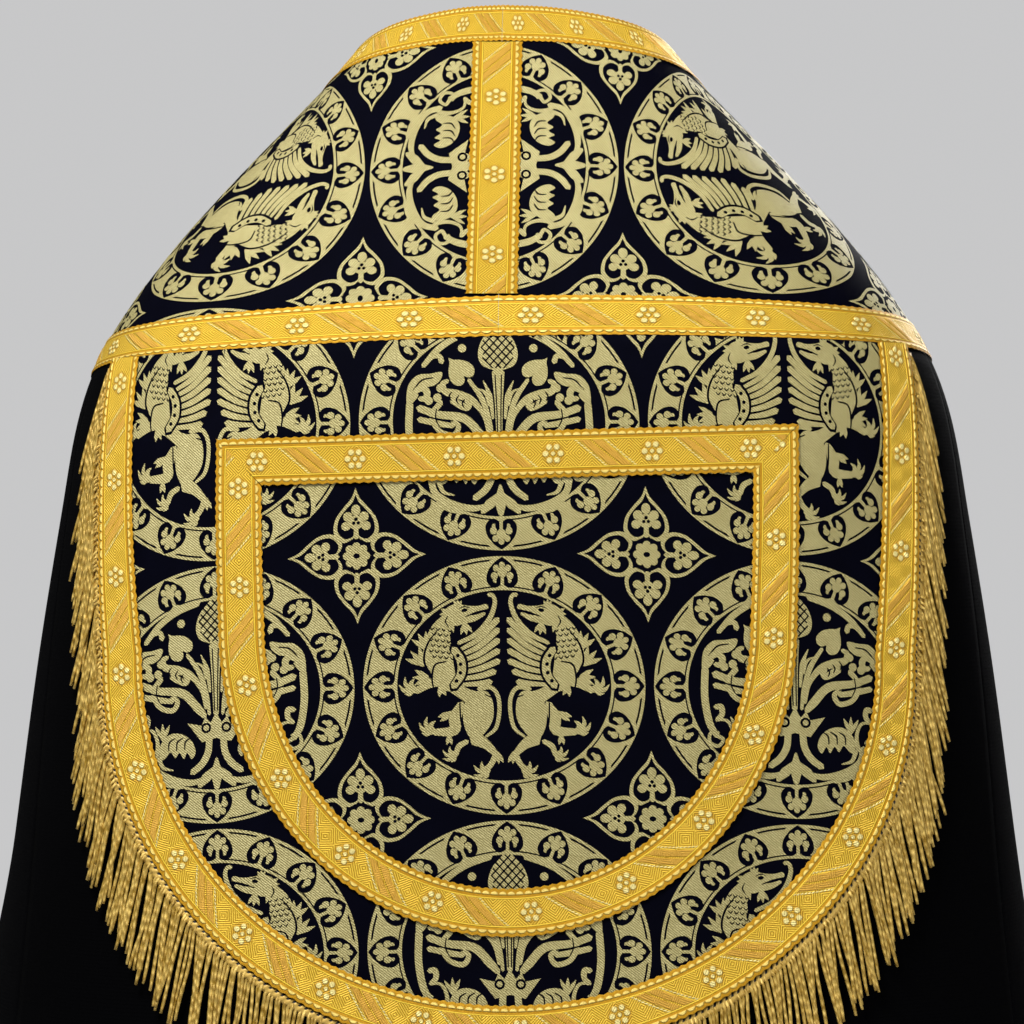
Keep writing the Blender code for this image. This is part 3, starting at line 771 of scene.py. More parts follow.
def roundel():
    """The ring: gold lines and band on dark, with hearts that point outwards all round."""
    ring = Chart()
    for inset, colour in zip((0.0, *RING_BAND, RING_WIDTH), (GOLD, DARK, GOLD, DARK, GOLD, DARK)):
        ring.disc(0.0, 0.0, RING_RADII[0] - inset, RING_RADII[1] - inset, colour=colour, count=RING_CORNERS)
    gap = Chart()
    gap.disc(0.0, 0.3, *RING_GAP, count=16)
    for index in range(RING_HEARTS):
        angle = 2 * math.pi * index / RING_HEARTS
        x = (RING_RADII[0] - RING_HEART_INSET) * math.sin(angle)
        y = (RING_RADII[1] - RING_HEART_INSET) * math.cos(angle)
        for chart in (gap, ring_leaf):
            ring.placed(chart, x, y, -math.degrees(angle))
    return ring


def griffin():
    """The left griffin: it stands outwards, looks back over its wing, and the right one mirrors it."""
    beast = Chart()
    # Wing feathers spread from the collar to the middle line, the top one curling up
    beast.stroke(((-28, 26.5), (-17, 32), (-8.5, 41.5), (-5.0, 51), (-6.0, 56), (-8.6, 56.6)),
                 (2.4, 3.2, 3.2, 2.8, 2.4, 2.6))
    for step in range(7):
        tip = 41.0 - 6.5 * step
        root = 22.6 - 3.7 * step
        end = -3.6 - 2.6 * max(0, step - 4)
        beast.stroke(((-26.5, root), (-15.0, blend(root, tip, 0.36)), (end, tip)), (2.2, 3.5, 3.9))
    # Breast tufts and the raised foreleg
    beast.tuft(-48, 23, (92, 118, 146), 11, 3.2)
    beast.tuft(-50, 13, (104, 132, 160), 12, 3.2)
    beast.tuft(-47, 5, (150, 178, 206), 10, 3.0)
    beast.stroke(((-38, 4), (-47, 1), (-55, -3)), (7.5, 5.0, 4.2))
    beast.paw(-57, -2, 168)
    beast.tuft(-40, 0, (-60, -95), 7, 3.0)
    # Neck and breast in one curve, with scales
    beast.stroke(((-32.5, 43), (-39.5, 33), (-41, 20), (-37.5, 8), (-33, -1)), (8, 13.5, 19, 14, 9))
    beast.stroke(((-41, 35), (-47.5, 26), (-49.8, 16), (-46.5, 5)), (0.6, 1.3, 1.4, 0.8), DARK)
    for row in range(6):
        for column in range(4):
            x = -45.5 + 3.7 * column + 0.4 * abs(row - 3) + (row % 2) * 1.6
            y = 36.0 - 3.5 * row - 0.5 * column
            scale = (x - 1.4, y + 0.7), (x - 0.2, y - 0.8), (x + 1.3, y + 0.5)
            beast.stroke(scale, (0.6, 0.95, 0.6), DARK, 3)
    beast.stroke(((-36, 15), (-43, 13), (-45, 5), (-44, -3)), (0.9, 1.2, 1.2, 0.9), DARK)
    # Body, haunch and tail
    beast.stroke(((-32, -1), (-24, -6), (-17, -10)), (7, 8, 12))
    beast.shape(((-26, -16), (-22, -6), (-12, -3.5), (-7.5, -10), (-7.5, -21), (-13, -30), (-20, -34),
                 (-25, -27)))
    beast.stroke(((-19, -33), (-12, -37), (-6, -43)), (9, 6, 3.6))
    beast.stroke(((-6, -43), (-9, -49), (-12, -52)), (3.6, 3.4, 3.4))
    beast.paw(-12, -53, 205, 0.95)
    beast.tuft(-5, -42, (-60, -85, -110), 7, 2.6)
    beast.stroke(((-16, -2.2), (-8, -1.6), (-3.8, -8), (-3.6, -18), (-6, -27), (-12, -32)),
                 (2.6, 2.6, 2.6, 2.6, 2.4, 1.6))
    beast.stroke(((-12, -6), (-6.3, -9), (-6.2, -18), (-9, -27)), (0.7, 1.1, 1.1, 0.7), DARK)
    # The other hind leg
    beast.stroke(((-27, -12), (-31, -20), (-32, -28), (-44, -29)), (5, 8, 6.5, 4.0))
    beast.stroke(((-28, -11), (-27.5, -22), (-25.5, -31)), (0.9, 1.1, 0.9), DARK)
    beast.paw(-46, -28, 152)
    beast.tuft(-33, -17, (196, 215), 9, 3.4)
    beast.tuft(-35, -31, (-75, -105), 6, 2.6)
    beast.stroke(((-24, -35), (-29, -38), (-31, -43)), (3.0, 3.6, 3.0))
    beast.paw(-32, -43, 205, 0.85)
    # Collar with studs
    beast.stroke(((-31.5, 24), (-26.5, 16), (-26.5, 7), (-32, -1.5)), (6.4, 7.4, 7.4, 6.4), DARK)
    beast.stroke(((-31.0, 22.5), (-26.9, 15.5), (-26.9, 7), (-31.6, -0.4)), (4.4, 5.2, 5.2, 4.4))
    for x, y in ((-28.7, 18.6), (-27.0, 13.2), (-27.3, 7.8), (-29.8, 2.8)):
        beast.disc(x, y, 1.25, colour=DARK, count=8)
    # Head turned back, with ears, mane, open muzzle and beard
    beast.tuft(-28, 49, (60, 92, 124), 4.6, 2.0)
    beast.tuft(-33, 45, (152, 184), 6.4, 2.6)
    beast.tuft(-33, 41, (-76, -112), 8.0, 2.6)
    beast.shape(((-37, 43), (-35, 48.5), (-29, 51), (-22, 49.8), (-15.5, 49.6), (-10.6, 50.8), (-9.0, 49.0),
                 (-10.6, 47.2), (-18, 45.4), (-22, 41), (-28, 37.4), (-34, 38.4)))
    beast.stroke(((-26, 40.8), (-18, 42.0), (-11.6, 44.8)), (5.0, 3.8, 2.0))
    beast.stroke(((-9.8, 47.2), (-16.5, 45.5), (-23.5, 43.0)), (1.0, 1.3, 0.6), DARK, 3)
    beast.tuft(-24, 39, (-52, -82, -110), 7.4, 2.6)
    beast.disc(-24.0, 47.0, 2.0, 1.2, 10, DARK, 9)
    beast.stroke(((-27.4, 48.0), (-24.0, 49.3), (-20.8, 48.4)), (0.4, 0.8, 0.4), DARK, 3)
    beast.stroke(((-34.5, 43.5), (-36.0, 40.0), (-34.0, 36.4)), (0.5, 1.0, 0.5), DARK, 3)
    return beast


def plant():
    """A pine cone on a fluted stem among heart leaves, berries, scrolls and interlaced straps."""
    half = Chart()
    # Bow near the ring, ending in a small curl
    half.stroke(((-11, 58.2), (-26, 53), (-38, 45), (-47, 35)), (3.6, 4.0, 4.0, 3.0))
    half.stroke(((-47, 35), (-42, 40.5), (-37, 41), (-35.5, 37.5)), (3.0, 3.4, 3.2, 3.6))
    # Heart leaf and its stalk, with a berry over it
    leaf = Chart()
    leaf.sharp(heart_outline(8.4, 10.5))
    half.placed(leaf, -24.5, 32.0, 40)
    half.disc(-22.5, 46.0, 2.7, count=10)
    half.stroke(((-18.5, 26), (-10.5, 14), (-6.0, 0), (-4.4, -12)), (2.4, 3.4, 2.8, 2.0))
    half.stroke(((-9.5, 25.5), (-5.6, 16), (-3.8, 2)), (0.6, 3.2, 1.6))
    half.stroke(((-14, 21), (-8.5, 18), (-6.4, 10)), (0.5, 2.0, 1.0))
    # Drooping leaf and three berries at the side
    half.shape(((-57.5, 10), (-57, 22), (-51, 29), (-43, 30), (-35.5, 31), (-36.5, 26), (-41, 22.5),
                (-46, 21.5), (-49.5, 18), (-52, 14)))
    half.stroke(((-41, 27.5), (-48, 26), (-53.5, 20)), (0.8, 1.1, 0.8), DARK)
    half.stroke(((-52, 19), (-48.5, 21), (-45, 18.5), (-46, 14.5), (-49.5, 14.5)),
                (4.0, 4.4, 4.4, 3.8, 3.0))
    half.stroke(((-50.5, 17.5), (-48, 18.6), (-47.6, 16.4)), (1.0, 1.1, 0.8), DARK, 3)
    for x, y in ((-36.5, 21), (-38.5, 15), (-44.0, 13.2)):
        half.disc(x, y, 2.7, count=10)
    # Scrolled leaf between stem and straps
    half.stroke(((-6.5, -8), (-9.5, 4), (-17, 13.5), (-26, 17), (-33.5, 19), (-35, 23.5), (-32, 25.5)),
                (2.2, 2.8, 4.4, 5.6, 4.4, 3.6, 2.6))
    half.stroke(((-29, 13.5), (-24.5, 10.5), (-20, 8.6), (-18.4, 11.4), (-20.6, 12.6)),
                (4.6, 4.6, 4.0, 3.2, 2.4))
    for x, y in ((-30.5, 15.5), (-26, 13.4), (-22.4, 11.0)):
        half.stroke(((x + 1.0, y + 3.0), (x - 0.6, y + 0.4), (x + 0.6, y - 2.4)), (0.6, 1.1, 0.6), DARK, 3)
    # Straps: an upright, two cross bands, and a ring looped through them
    half.stroke(((-56.0, 11), (-56.6, -6), (-54.0, -22), (-49.5, -30)), (4.6, 4.6, 4.6, 3.6))
    half.stroke(((-50, 8.5), (-38, 4.5), (-22, 2.0), (-12, -8), (-7.5, -13)), (4.6, 4.6, 5.4, 5.4, 3.6))
    half.stroke(((-50, 1.5), (-38, -1.2), (-29, -2.6)), (3.6, 3.8, 3.2))
    half.stroke(((-36.5, 12), (-42, 4), (-38, -5.4), (-29, -8.4), (-25.5, -3.0), (-29.5, 0.6)),
                (3.6, 3.4, 3.2, 3.4, 3.2, 2.4))
    half.stroke(((-49, 4.6), (-38, 1.4), (-29, 0.4)), (0.9, 1.0, 0.8), DARK)
    half.stroke(((-39.2, 8), (-39.8, 2), (-37.5, -3)), (0.7, 0.9, 0.7), DARK, 3)
    # Crown at the foot of the stem
    half.sharp(((0.3, -27.0), (-9.5, -29.5), (-19.0, -17.0), (-9.5, -19.0), (-7.2, -13.5), (-3.6, -17.5),
                (0.3, -10.5)))
    half.disc(-6.6, -20.6, 3.4, colour=DARK, count=10)
    half.disc(-6.6, -20.6, 1.9, count=9)
    # Side scroll and its spiral
    half.stroke(((-50, -12), (-46.5, -12), (-46.0, -16.5), (-49, -20)), (3.2, 3.8, 3.4, 3.0))
    half.stroke(((-48.5, -28), (-53.5, -28.5), (-54, -34), (-49, -36.4), (-45.5, -32.5), (-48.5, -30.4)),
                (2.0, 2.2, 2.2, 2.2, 2.2, 2.6))
    half.stroke(((-50, -20), (-43, -20.5), (-39.5, -27), (-39.8, -35), (-43.5, -39)),
                (1.2, 2.0, 2.4, 3.2, 2.6))
    half.tuft(-35.5, -26.5, (64, 92, 122), 10, 2.6)
    # Curled leaf with ribs
    half.shape(((-38, -38), (-37, -29), (-31, -23.4), (-23, -23.6), (-16.5, -28), (-13.8, -35),
                (-16.4, -39.5), (-19.4, -35.4), (-21.6, -39.2), (-24.6, -35.2), (-27.4, -38.4),
                (-30.6, -34.4), (-34.6, -38.6)))
    for x in (-31.0, -25.6, -20.2):
        half.stroke(((x + 3.4, -26.0), (x - 0.4, -28.6), (x - 0.8, -33.6)), (0.7, 1.2, 0.7), DARK, 3)
    half.stroke(((-38.5, -38), (-35.5, -44), (-29, -46)), (3.0, 2.4, 0.8))
    # Straps that cross under the crown and the lower arc
    half.stroke(((-4.6, -27.5), (-5.6, -36), (-9.6, -43), (-16, -48)), (4.2, 4.4, 4.4, 4.0))
    half.stroke(((-43.5, -36), (-40.5, -45), (-30, -51.5), (-17, -54.4), (-7, -52)),
                (4.0, 4.2, 4.2, 4.0, 2.0))
    half.stroke(((-40, -50.4), (-32, -55.4), (-22, -57.4)), (1.4, 2.6, 0.8))
    half.mirrored()
    # Middle: cone, fluted stem and palmette
    cone = Chart()
    cone.shape(((0, 61.5), (-5.6, 57), (-10.6, 50), (-12.6, 42), (-10.4, 35.6), (-4.6, 32.8), (0, 31.8),
                (4.6, 32.8), (10.4, 35.6), (12.6, 42), (10.6, 50), (5.6, 57)))
    for step in range(-3, 4):
        for side in (-1, 1):
            line = [(5.2 * step + side * 14 * part, 46.5 + 15 * part)
                    for part in np.linspace(-1.0, 1.0, 15)]
            line = [(x, y) for x, y in line if (x / 12.0) ** 2 + ((y - 46.5) / 14.2) ** 2 < 1]
            if len(line) > 2:
                cone.stroke((line[0], line[len(line) // 2], line[-1]), (0.95,), DARK, 2)
    whole = Chart()
    whole.placed(half)
    whole.placed(cone)
    whole.stroke(((0, 31.0), (0, 12), (0, -12)), (8.0, 5.0, 3.4), steps=3)
    for side in (-1, 1):
        whole.stroke(((side * 2.0, 29), (side * 1.3, 8), (side * 1.0, -10)), (0.8,), DARK, 3)
    whole.stroke(((0, -40), (0, -50)), (1.6, 8.0), steps=3)
    for turn, reach in ((-90, 11.0), (-38, 14.5), (-142, 14.5)):
        angle = math.radians(turn)
        x, y = reach * math.cos(angle), -49 + reach * math.sin(angle) * 0.85
        whole.stroke(((0, -46), (x * 0.6, -46 + (y + 46) * 0.55), (x, y)), (4.2, 6.2, 3.2))
    return whole


def quatrefoil():
    """Four hearts with their points outward round a small flower."""
    foil = Chart()
    for turn, reach, tall in ((0, 22.0, 20.5), (90, 22.5, 21.0), (180, 22.0, 20.5), (270, 22.5, 21.0)):
        petal = Chart()
        petal.sharp(heart_outline(14.2, tall))
        petal.sharp(heart_outline(11.8, tall - 4.2), DARK)
        for x, y, wide, high in ((0, 6.6, 2.9, 3.6), (-5.0, 2.6, 3.1, 3.1), (5.0, 2.6, 3.1, 3.1),
                                 (-6.3, -3.2, 3.0, 2.8), (6.3, -3.2, 3.0, 2.8), (0, -1.0, 5.0, 4.4)):
            petal.disc(x, y, wide, high, count=10)
        petal.stroke(((0, -3), (0, -10.5)), (2.6, 3.4), steps=2)
        for side in (-1, 1):
            petal.stroke(((side * 1.9, -5.4), (side * 3.9, -6.6), (side * 2.3, -8.2)), (1.0, 1.8, 1.4),
                         DARK, 3)
            petal.disc(side * 1.4, -1.4, 1.15, colour=DARK, count=7)
        petal.disc(0, 1.0, 1.25, colour=DARK, count=7)
        angle = math.radians(turn)
        foil.placed(petal, reach * math.sin(angle), reach * math.cos(angle), -turn)
    foil.disc(0, 0, 10.6, colour=DARK, count=20)
    for index in range(8):
        angle = 2 * math.pi * index / 8
        foil.disc(6.0 * math.cos(angle), 6.0 * math.sin(angle), 2.6, count=9)
    foil.disc(0, 0, 5.4, count=12)
    foil.disc(0, 0, 2.2, 1.7, colour=DARK, count=9)
    return foil


# The weft that draws the figures: each chart is cut into small faces, copied to its places on the cloth
# and laid a hair above the ground. Fine diagonal lines of twill run over it.
WEFT_LIFT = 0.00030
WEFT_LINES = 9.0
WEFT_WELD = 0.0001
WEFT_MARGIN = 0.010
HOOD_REPEAT_PLACE = (-0.0018, -0.4476)
WARP_LEAN = -0.02
TWILL_PITCH = 0.00165
TWILL_SLANT = 0.8
TWILL_WANDER = 0.0016
THREAD_PITCH = 0.0009
MORSE_FIGURE = 0.84

# The hood's rows sag at its sides, left and right, and less near its top and its round
HOOD_SAG = (0.0065, 0.0035)
HOOD_SAG_REACH = 0.18
HOOD_SAG_START = 0.10
HOOD_SAG_END = 0.68

# The orphrey's figures are wider where it bends round the neck, and its halves are cut at the centre
# back a little above and below the middle of a roundel
BIAS_LENGTHS = (0.25, 0.50)
BIAS_STRETCH = 1.11
CUT_OFF_CENTRE = 0.004


def within(points, outline):
    """Which points lie inside an outline, also one that crosses itself."""
    turns = np.zeros(len(points), dtype=int)
    x, y = points[:, 0], points[:, 1]
    for one, two in zip(outline, np.roll(outline, -1, axis=0)):
        side = (two[0] - one[0]) * (y - one[1]) - (x - one[0]) * (two[1] - one[1])
        turns += ((one[1] <= y) & (two[1] > y) & (side > 0)).astype(int)
        turns -= ((one[1] > y) & (two[1] <= y) & (side < 0)).astype(int)
    return turns != 0


def woven(chart):
    """The gold faces of a chart: its outlines and a set of straight lines cut the plane into triangles."""
    corners, lines = [], []
    for outline, _ in chart.shapes:
        first, count = len(corners), len(outline)
        corners.extend(outline)
        lines.extend((first + index, first + (index + 1) % count) for index in range(count))
    low, high = np.min(corners, axis=0), np.max(corners, axis=0)
    for axis in (0, 1):
        for step in np.arange(low[axis] + WEFT_LINES / 2, high[axis], WEFT_LINES):
            ends = np.stack((low, high))
            ends[:, axis] = step
            lines.append((len(corners), len(corners) + 1))
            corners.extend(ends)
    found = delaunay_2d_cdt([Vector(corner) for corner in corners], lines, [], 0, WEFT_WELD)
    points = np.array([tuple(point) for point in found[0]])
    faces = np.array(found[2])
    middles = points[faces].mean(axis=1)
    gold = np.zeros(len(faces), dtype=bool)
    for outline, colour in chart.shapes:
        near = np.all((middles >= outline.min(axis=0)) & (middles <= outline.max(axis=0)), axis=1)
        index = np.flatnonzero(near)
        gold[index[within(middles[index], outline)]] = colour
    return points, faces[gold]


beasts = griffin()
beasts.mirrored()
griffins = roundel()
griffins.placed(beasts)
plants = roundel()
plants.placed(plant())
figures = {"griffins": woven(griffins), "plant": woven(plants), "quatrefoil": woven(quatrefoil())}

weft_finish = Finish("gold_weft")
run, rise = weft_finish.cloth_axes()
wander = weft_finish.node("TexNoise", Scale=300.0, Detail=2.0)
slanted = run * TWILL_SLANT + rise + wander * TWILL_WANDER
twill = (slanted * (2 * math.pi / TWILL_PITCH)).maths("SINE") * 0.5 + 0.5
thread_ends = (run * (2 * math.pi / THREAD_PITCH)).maths("SINE") * 0.5 + 0.5
weft_tone = weft_finish.node("TexNoise", Scale=45.0, Detail=3.0)
thread_tone = weft_finish.node("TexNoise", Scale=900.0, Detail=1.0)
thread_tone = thread_tone.maths("MULTIPLY_ADD", 2.6, -0.8, clamp=True)
weft_shade = weft_tone * 0.4 + thread_tone * 0.6
weft_colour = weft_finish.mixed(weft_shade, (0.27, 0.225, 0.070), (0.74, 0.66, 0.315))
weft_colour = weft_finish.mixed(twill * twill * 0.8, weft_colour, (0.125, 0.092, 0.018))
gold_weft = weft_finish.close(weft_colour, 0.42 + 0.15 * thread_tone, 1.0 - twill + thread_ends * 0.2,
                              0.0004, 0.8, Metallic=0.15, Specular_IOR_Level=0.35)


def weave(name, places, mapped, inside, node):
    """Copies figures to their places and maps them on the cloth; what lies outside the panel is dropped."""
    all_points, all_faces, count = [], [], 0
    for figure, centre, size in places:
        points, faces = figures[figure]
        flat = points * size / 1000 + centre
        kept = faces[inside(flat[faces].mean(axis=1))]
        used, renumbered = np.unique(kept, return_inverse=True)
        all_points.append(flat[used])
        all_faces.append(renumbered.reshape(kept.shape) + count)
        count += len(used)
    flat, faces = np.concatenate(all_points), np.concatenate(all_faces)
    mesh_data = bpy.data.meshes.new(name)
    mesh_data.from_pydata(np.pad(flat, ((0, 0), (0, 1))), [], faces)
    placed, cloth = mapped(flat)
    piece = laid_mesh(name, mesh_data, placed, cloth, gold_weft)
    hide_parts(node)
    return piece


def checkerboard(columns, rows, centre, first):
    """Roundels in rows of two kinds that take turns, with a quatrefoil between each four."""
    kinds = ("griffins", "plant")
    places = []
    for column in columns:
        for row in rows:
            middle = np.array((centre[0] + column * WEFT_REPEAT, centre[1] + row * WARP_REPEAT))
            places.append((kinds[(column + row + first) % 2], middle, 1.0))
            places.append(("quatrefoil", middle + (WEFT_REPEAT / 2, WARP_REPEAT / 2), 1.0))
    return places


def inside_hood(flat):
    """Which places lie on the hood inside its margin."""
    along, height = flat[:, 0], flat[:, 1]
    drop = np.clip(HOOD_OUTLINE[2] - height, 0.0, None) / (HOOD_OUTLINE[3] - WEFT_MARGIN)
    wide = side_width(HOOD_OUTLINE, HOOD_TOP, height) - WEFT_MARGIN
    return ((along / wide) ** 2 + drop ** 2 < 1.0) & (height < hood_top(along))


def on_leaning_hood(flat):
    """Places of the hood's figures, whose columns lean a little and whose rows sag at the sides."""
    height = np.minimum(flat[:, 1], hood_top(flat[:, 0]) - SEAM)
    along = flat[:, 0] + WARP_LEAN * (height - HOOD_REPEAT_PLACE[1])
    sag = np.where(along < 0, HOOD_SAG[0], HOOD_SAG[1]) * (along / HOOD_SAG_REACH) ** 2
    sag *= np.clip((hood_top(along) - height) / HOOD_SAG_START, 0.0, 1.0)
    sag *= np.clip((height + HOOD_SAG_END) / HOOD_SAG_START, 0.0, 1.0)
    return on_hood(along, height - sag, WEFT_LIFT), np.stack((along, height), axis=-1)


def widened(across, along):
    """Distances across the orphrey as they are after its bend is stretched."""
    return across * np.interp(along, BIAS_LENGTHS, (BIAS_STRETCH, 1.0))


hood_weft = weave("hood_weft", checkerboard(range(-2, 2), range(-2, 2), HOOD_REPEAT_PLACE, 0),
                  on_leaning_hood, inside_hood, "hood")
orphrey_wefts = {}
for side, word in SIDES:
    def laid_along(flat, side=side):
        along = np.clip(-flat[:, 1], SEAM, orphrey_lengths[side] - SEAM)
        across = 0.5 + widened(flat[:, 0], along) / width_at(along, side)
        eased = np.interp(along, EASE_LENGTHS, (1.0, 0.0))
        share = np.interp(across, np.linspace(0.0, 1.0, WIDTH_STEPS + 1), row_shares[side])
        return on_orphrey(along * blend(1.0, 1.0 / share, eased), across, side, WEFT_LIFT), flat

    def inside_orphrey(flat, side=side):
        along = -flat[:, 1]
        reached = widened(np.abs(flat[:, 0]), along) < width_at(along, side) / 2 - WEFT_MARGIN
        return reached & (along > 0.0) & (along < orphrey_lengths[side])

    repeats = checkerboard((-1, 0, 1), range(-10, 1), (0.0, side * CUT_OFF_CENTRE), 1)
    orphrey_wefts[side] = weave("orphrey_weft_" + word, repeats, laid_along, inside_orphrey,
                                "orphrey_" + word)
morse_weft = weave("morse_weft", [("quatrefoil", (0.0, (MORSE_TOP + MORSE_BOTTOM) / 2), MORSE_FIGURE)],
                   lambda flat: (on_morse(flat[:, 0], flat[:, 1], WEFT_LIFT), flat),
                   lambda flat: np.full(len(flat), True), "morse")


# The galloon: a woven gold braid 30 mm wide, sewn flat along every edge of the orphrey and the hood. It has
# scalloped cord edges and, between two fine ribs, slanted satin bars that take turns with small flowers.
GALLOON_REPEAT = 0.062
CRESCENT_PITCH = 0.0057
CORD_LINE = 0.0122
RIB_LINE = 0.0087
CRESCENT_LINE = 0.0110
SCALLOP_LINE = 0.013
SCALLOP = 0.030
BAR_SLANT = 1.15
BAR_PLACES = (0.0125, 0.0205)
DOT_PLACES = (0.0072, 0.0258)
DOT_PITCH = 0.0024
FLOWER_PLACE = 0.0455
CHEVRON_PITCH = 0.0019
PETALS = 6
PETAL_RING = 0.0047
GALLOON_ROWS = 14
UNDER_ROWS = 2
FINE_STEP = 0.0015
LOWER_STEP = 0.0019
PLAIN_STEP = 0.00285
UNDERSIDE = 0.0003
FACE_START = 0.45 * BRAID
SHARP_EDGE = math.radians(50.0)
WELD = 0.00001

# What stands up from the braid's face: half width in metres, height in millimetres
RAISED_CORD = (0.0016, 0.6)
RAISED_RIB = (0.0006, 0.25)
RAISED_BAR = (0.0028, 0.55)
RAISED_PETALS = (0.0021, 0.6)
RAISED_EYE = (0.0013, 0.5)
PETAL_REACH = 0.0048
FIELD_BLUR = 0.0008

# What the braid's colours draw: half width or radius, softness of its edge
RIB_THREAD = (0.0004, 0.0003)
CRESCENT = (0.0025, 0.0008)
CORD = (0.0026, 0.0010)
BAR = (0.0031, 0.0006)
DOT = (0.00085, 0.0005)
PETAL = (0.0018, 0.0006)
EYE = (0.0013, 0.0005)
FLOWER_GROUND = (0.0074, 0.0012)
CENTRE_FIELD = (0.0081, 0.0004)
DOT_SQUEEZE = 1.52
CRESCENT_SQUEEZE = 1.6
SATIN_THREADS = 7000.0
SATIN_SLANT = 2.2


def raised(distance, half_width, height, power=2):
    """A soft rise by distance from its middle; a higher power flattens its top."""
    return height * np.exp(-(distance / half_width) ** power)


def galloon_relief(u, v):
    """Height of the braid's face, in millimetres, at distances along it and out from its middle."""
    edge = np.abs(v)
    knots = 0.55 + 0.45 * np.abs(np.sin(np.pi * u / CRESCENT_PITCH))
    cord = raised(edge - CORD_LINE, *RAISED_CORD) * knots
    rib = raised(edge - RIB_LINE, *RAISED_RIB)
    centre = np.clip((RIB_LINE - edge) / FIELD_BLUR, 0.0, 1.0)
    place = (u + BAR_SLANT * v) % GALLOON_REPEAT
    bars = sum(raised(place - middle, *RAISED_BAR, 4) for middle in BAR_PLACES)
    beside = (u % GALLOON_REPEAT) - FLOWER_PLACE
    petals = np.clip(0.5 + np.cos(PETALS * np.arctan2(v, beside)), 0.0, 1.0)
    reach = np.hypot(beside, v)
    flower = raised(reach - PETAL_REACH, *RAISED_PETALS) * petals + raised(reach, *RAISED_EYE)
    return cord + rib + centre * (bars + flower)


def galloon_edge(u, v):
    """Distances out from the middle, with the outermost row drawn into small scallops."""
    return v * (1.0 + SCALLOP * np.cos(2 * np.pi * u / CRESCENT_PITCH) * (np.abs(v) > SCALLOP_LINE))


galloon_finish = Finish("galloon")
run, rise = galloon_finish.cloth_axes()
edge = abs(rise)
centre = edge.below(*CENTRE_FIELD)
rib = abs(edge - RIB_LINE).below(*RIB_THREAD)
scallop_run = run.wrapped(CRESCENT_PITCH)
scallop_rise = edge - CRESCENT_LINE
arc = (scallop_run * scallop_run + scallop_rise * scallop_rise * CRESCENT_SQUEEZE).maths("SQRT")
crescents = arc.below(*CRESCENT) * (1.0 - edge.below(CRESCENT_LINE, CRESCENT[1]))
cord = abs(edge - CORD_LINE).below(*CORD)
slanted = (run + BAR_SLANT * rise).maths("WRAP", GALLOON_REPEAT, 0.0)
bars = sum(abs(slanted - place).below(*BAR) for place in BAR_PLACES) * centre
dot_run = (rise * DOT_SQUEEZE).wrapped(DOT_PITCH)
dots = sum((dot_run * dot_run + (slanted - place) * (slanted - place)).maths("SQRT").below(*DOT)
           for place in DOT_PLACES) * centre
satin = ((run * SATIN_SLANT - rise) * SATIN_THREADS).maths("SINE") * 0.5 + 0.5
peaks = run.wrapped(GALLOON_REPEAT / 4).maths("ABSOLUTE") + edge
chevrons = (peaks * (2 * math.pi / CHEVRON_PITCH)).maths("SINE") * 0.5 + 0.5
beside = run.maths("WRAP", GALLOON_REPEAT, 0.0) - FLOWER_PLACE
reach = (beside * beside + rise * rise).maths("SQRT")
petal_turn = rise.maths("ARCTAN2", beside).wrapped(2 * math.pi / PETALS).maths("COSINE")
petals = (reach * reach + PETAL_RING ** 2 - petal_turn * reach * (2 * PETAL_RING)).maths("SQRT")
flower = petals.below(*PETAL).maths("MAXIMUM", reach.below(*EYE)) * centre
flower_ring = reach.below(*FLOWER_GROUND) * centre
grain = galloon_finish.node("TexNoise", Scale=1400.0, Detail=2.0)
mottle = galloon_finish.node("TexNoise", Scale=60.0, Detail=2.0)
satin_tone = galloon_finish.mixed(satin, (0.66, 0.33, 0.020), (0.97, 0.58, 0.10))
gold = galloon_finish.mixed(grain * 0.5 + mottle * 0.5, (0.38, 0.165, 0.001), (0.76, 0.41, 0.005))

# The braid's colours from the ground up, a row for each: where it shows, tone
for shown, tone in (
        (chevrons * centre, (1.0, 0.70, 0.075)),
        (flower_ring * 0.5, (0.50, 0.235, 0.010)),
        (bars, satin_tone),
        (dots, (1.0, 0.86, 0.36)),
        (flower, (1.0, 0.85, 0.33)),
        (cord * 0.3, (0.58, 0.285, 0.003)),
        (rib, (1.0, 0.70, 0.06)),
        (crescents, (1.0, 0.76, 0.19))):
    gold = galloon_finish.mixed(shown, gold, tone)
height = (crescents * 1.5 + rib + bars * (1.2 + 0.2 * satin) + flower * 1.5 + dots
          + centre * chevrons * 0.6 + grain * 0.5)
galloon = galloon_finish.close(gold, 0.36 + 0.2 * grain, height, 0.0009, 0.9, Metallic=0.4,
                               Specular_IOR_Level=0.45)


def braid(name, length, place, node, step=FINE_STEP, slant=1, mitred=False):
    """A closed flat tube of braid; place(along, across, out) lays its points on what carries it."""
    around = GALLOON_ROWS + UNDER_ROWS

    def laid(u, v):
        row = np.round(v * around)
        across = ((row - 1) / GALLOON_ROWS - 0.5) * BRAID_WIDTH
        under = (row == 0) | (row == around)
        across = np.where(under, 0.0, across)
        along = blend(-across, length + across, u) if mitred else u * length
        out = np.where(under, UNDERSIDE, FACE_START + galloon_relief(slant * along, across) / 1000)
        return place(along, galloon_edge(along, across), out), np.stack((slant * along, across), axis=-1)

    piece = sheet_of_cloth(name, int(length / step), around, laid, galloon)
    closed = bmesh.new()
    closed.from_mesh(piece.data)
    bmesh.ops.remove_doubles(closed, verts=closed.verts, dist=WELD)
    bmesh.ops.holes_fill(closed, edges=closed.edges, sides=0)
    bmesh.ops.recalc_face_normals(closed, faces=closed.faces)
    closed.to_mesh(piece.data)
    closed.free()
    piece.data.set_sharp_from_angle(angle=SHARP_EDGE)
    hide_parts(node)
    return piece


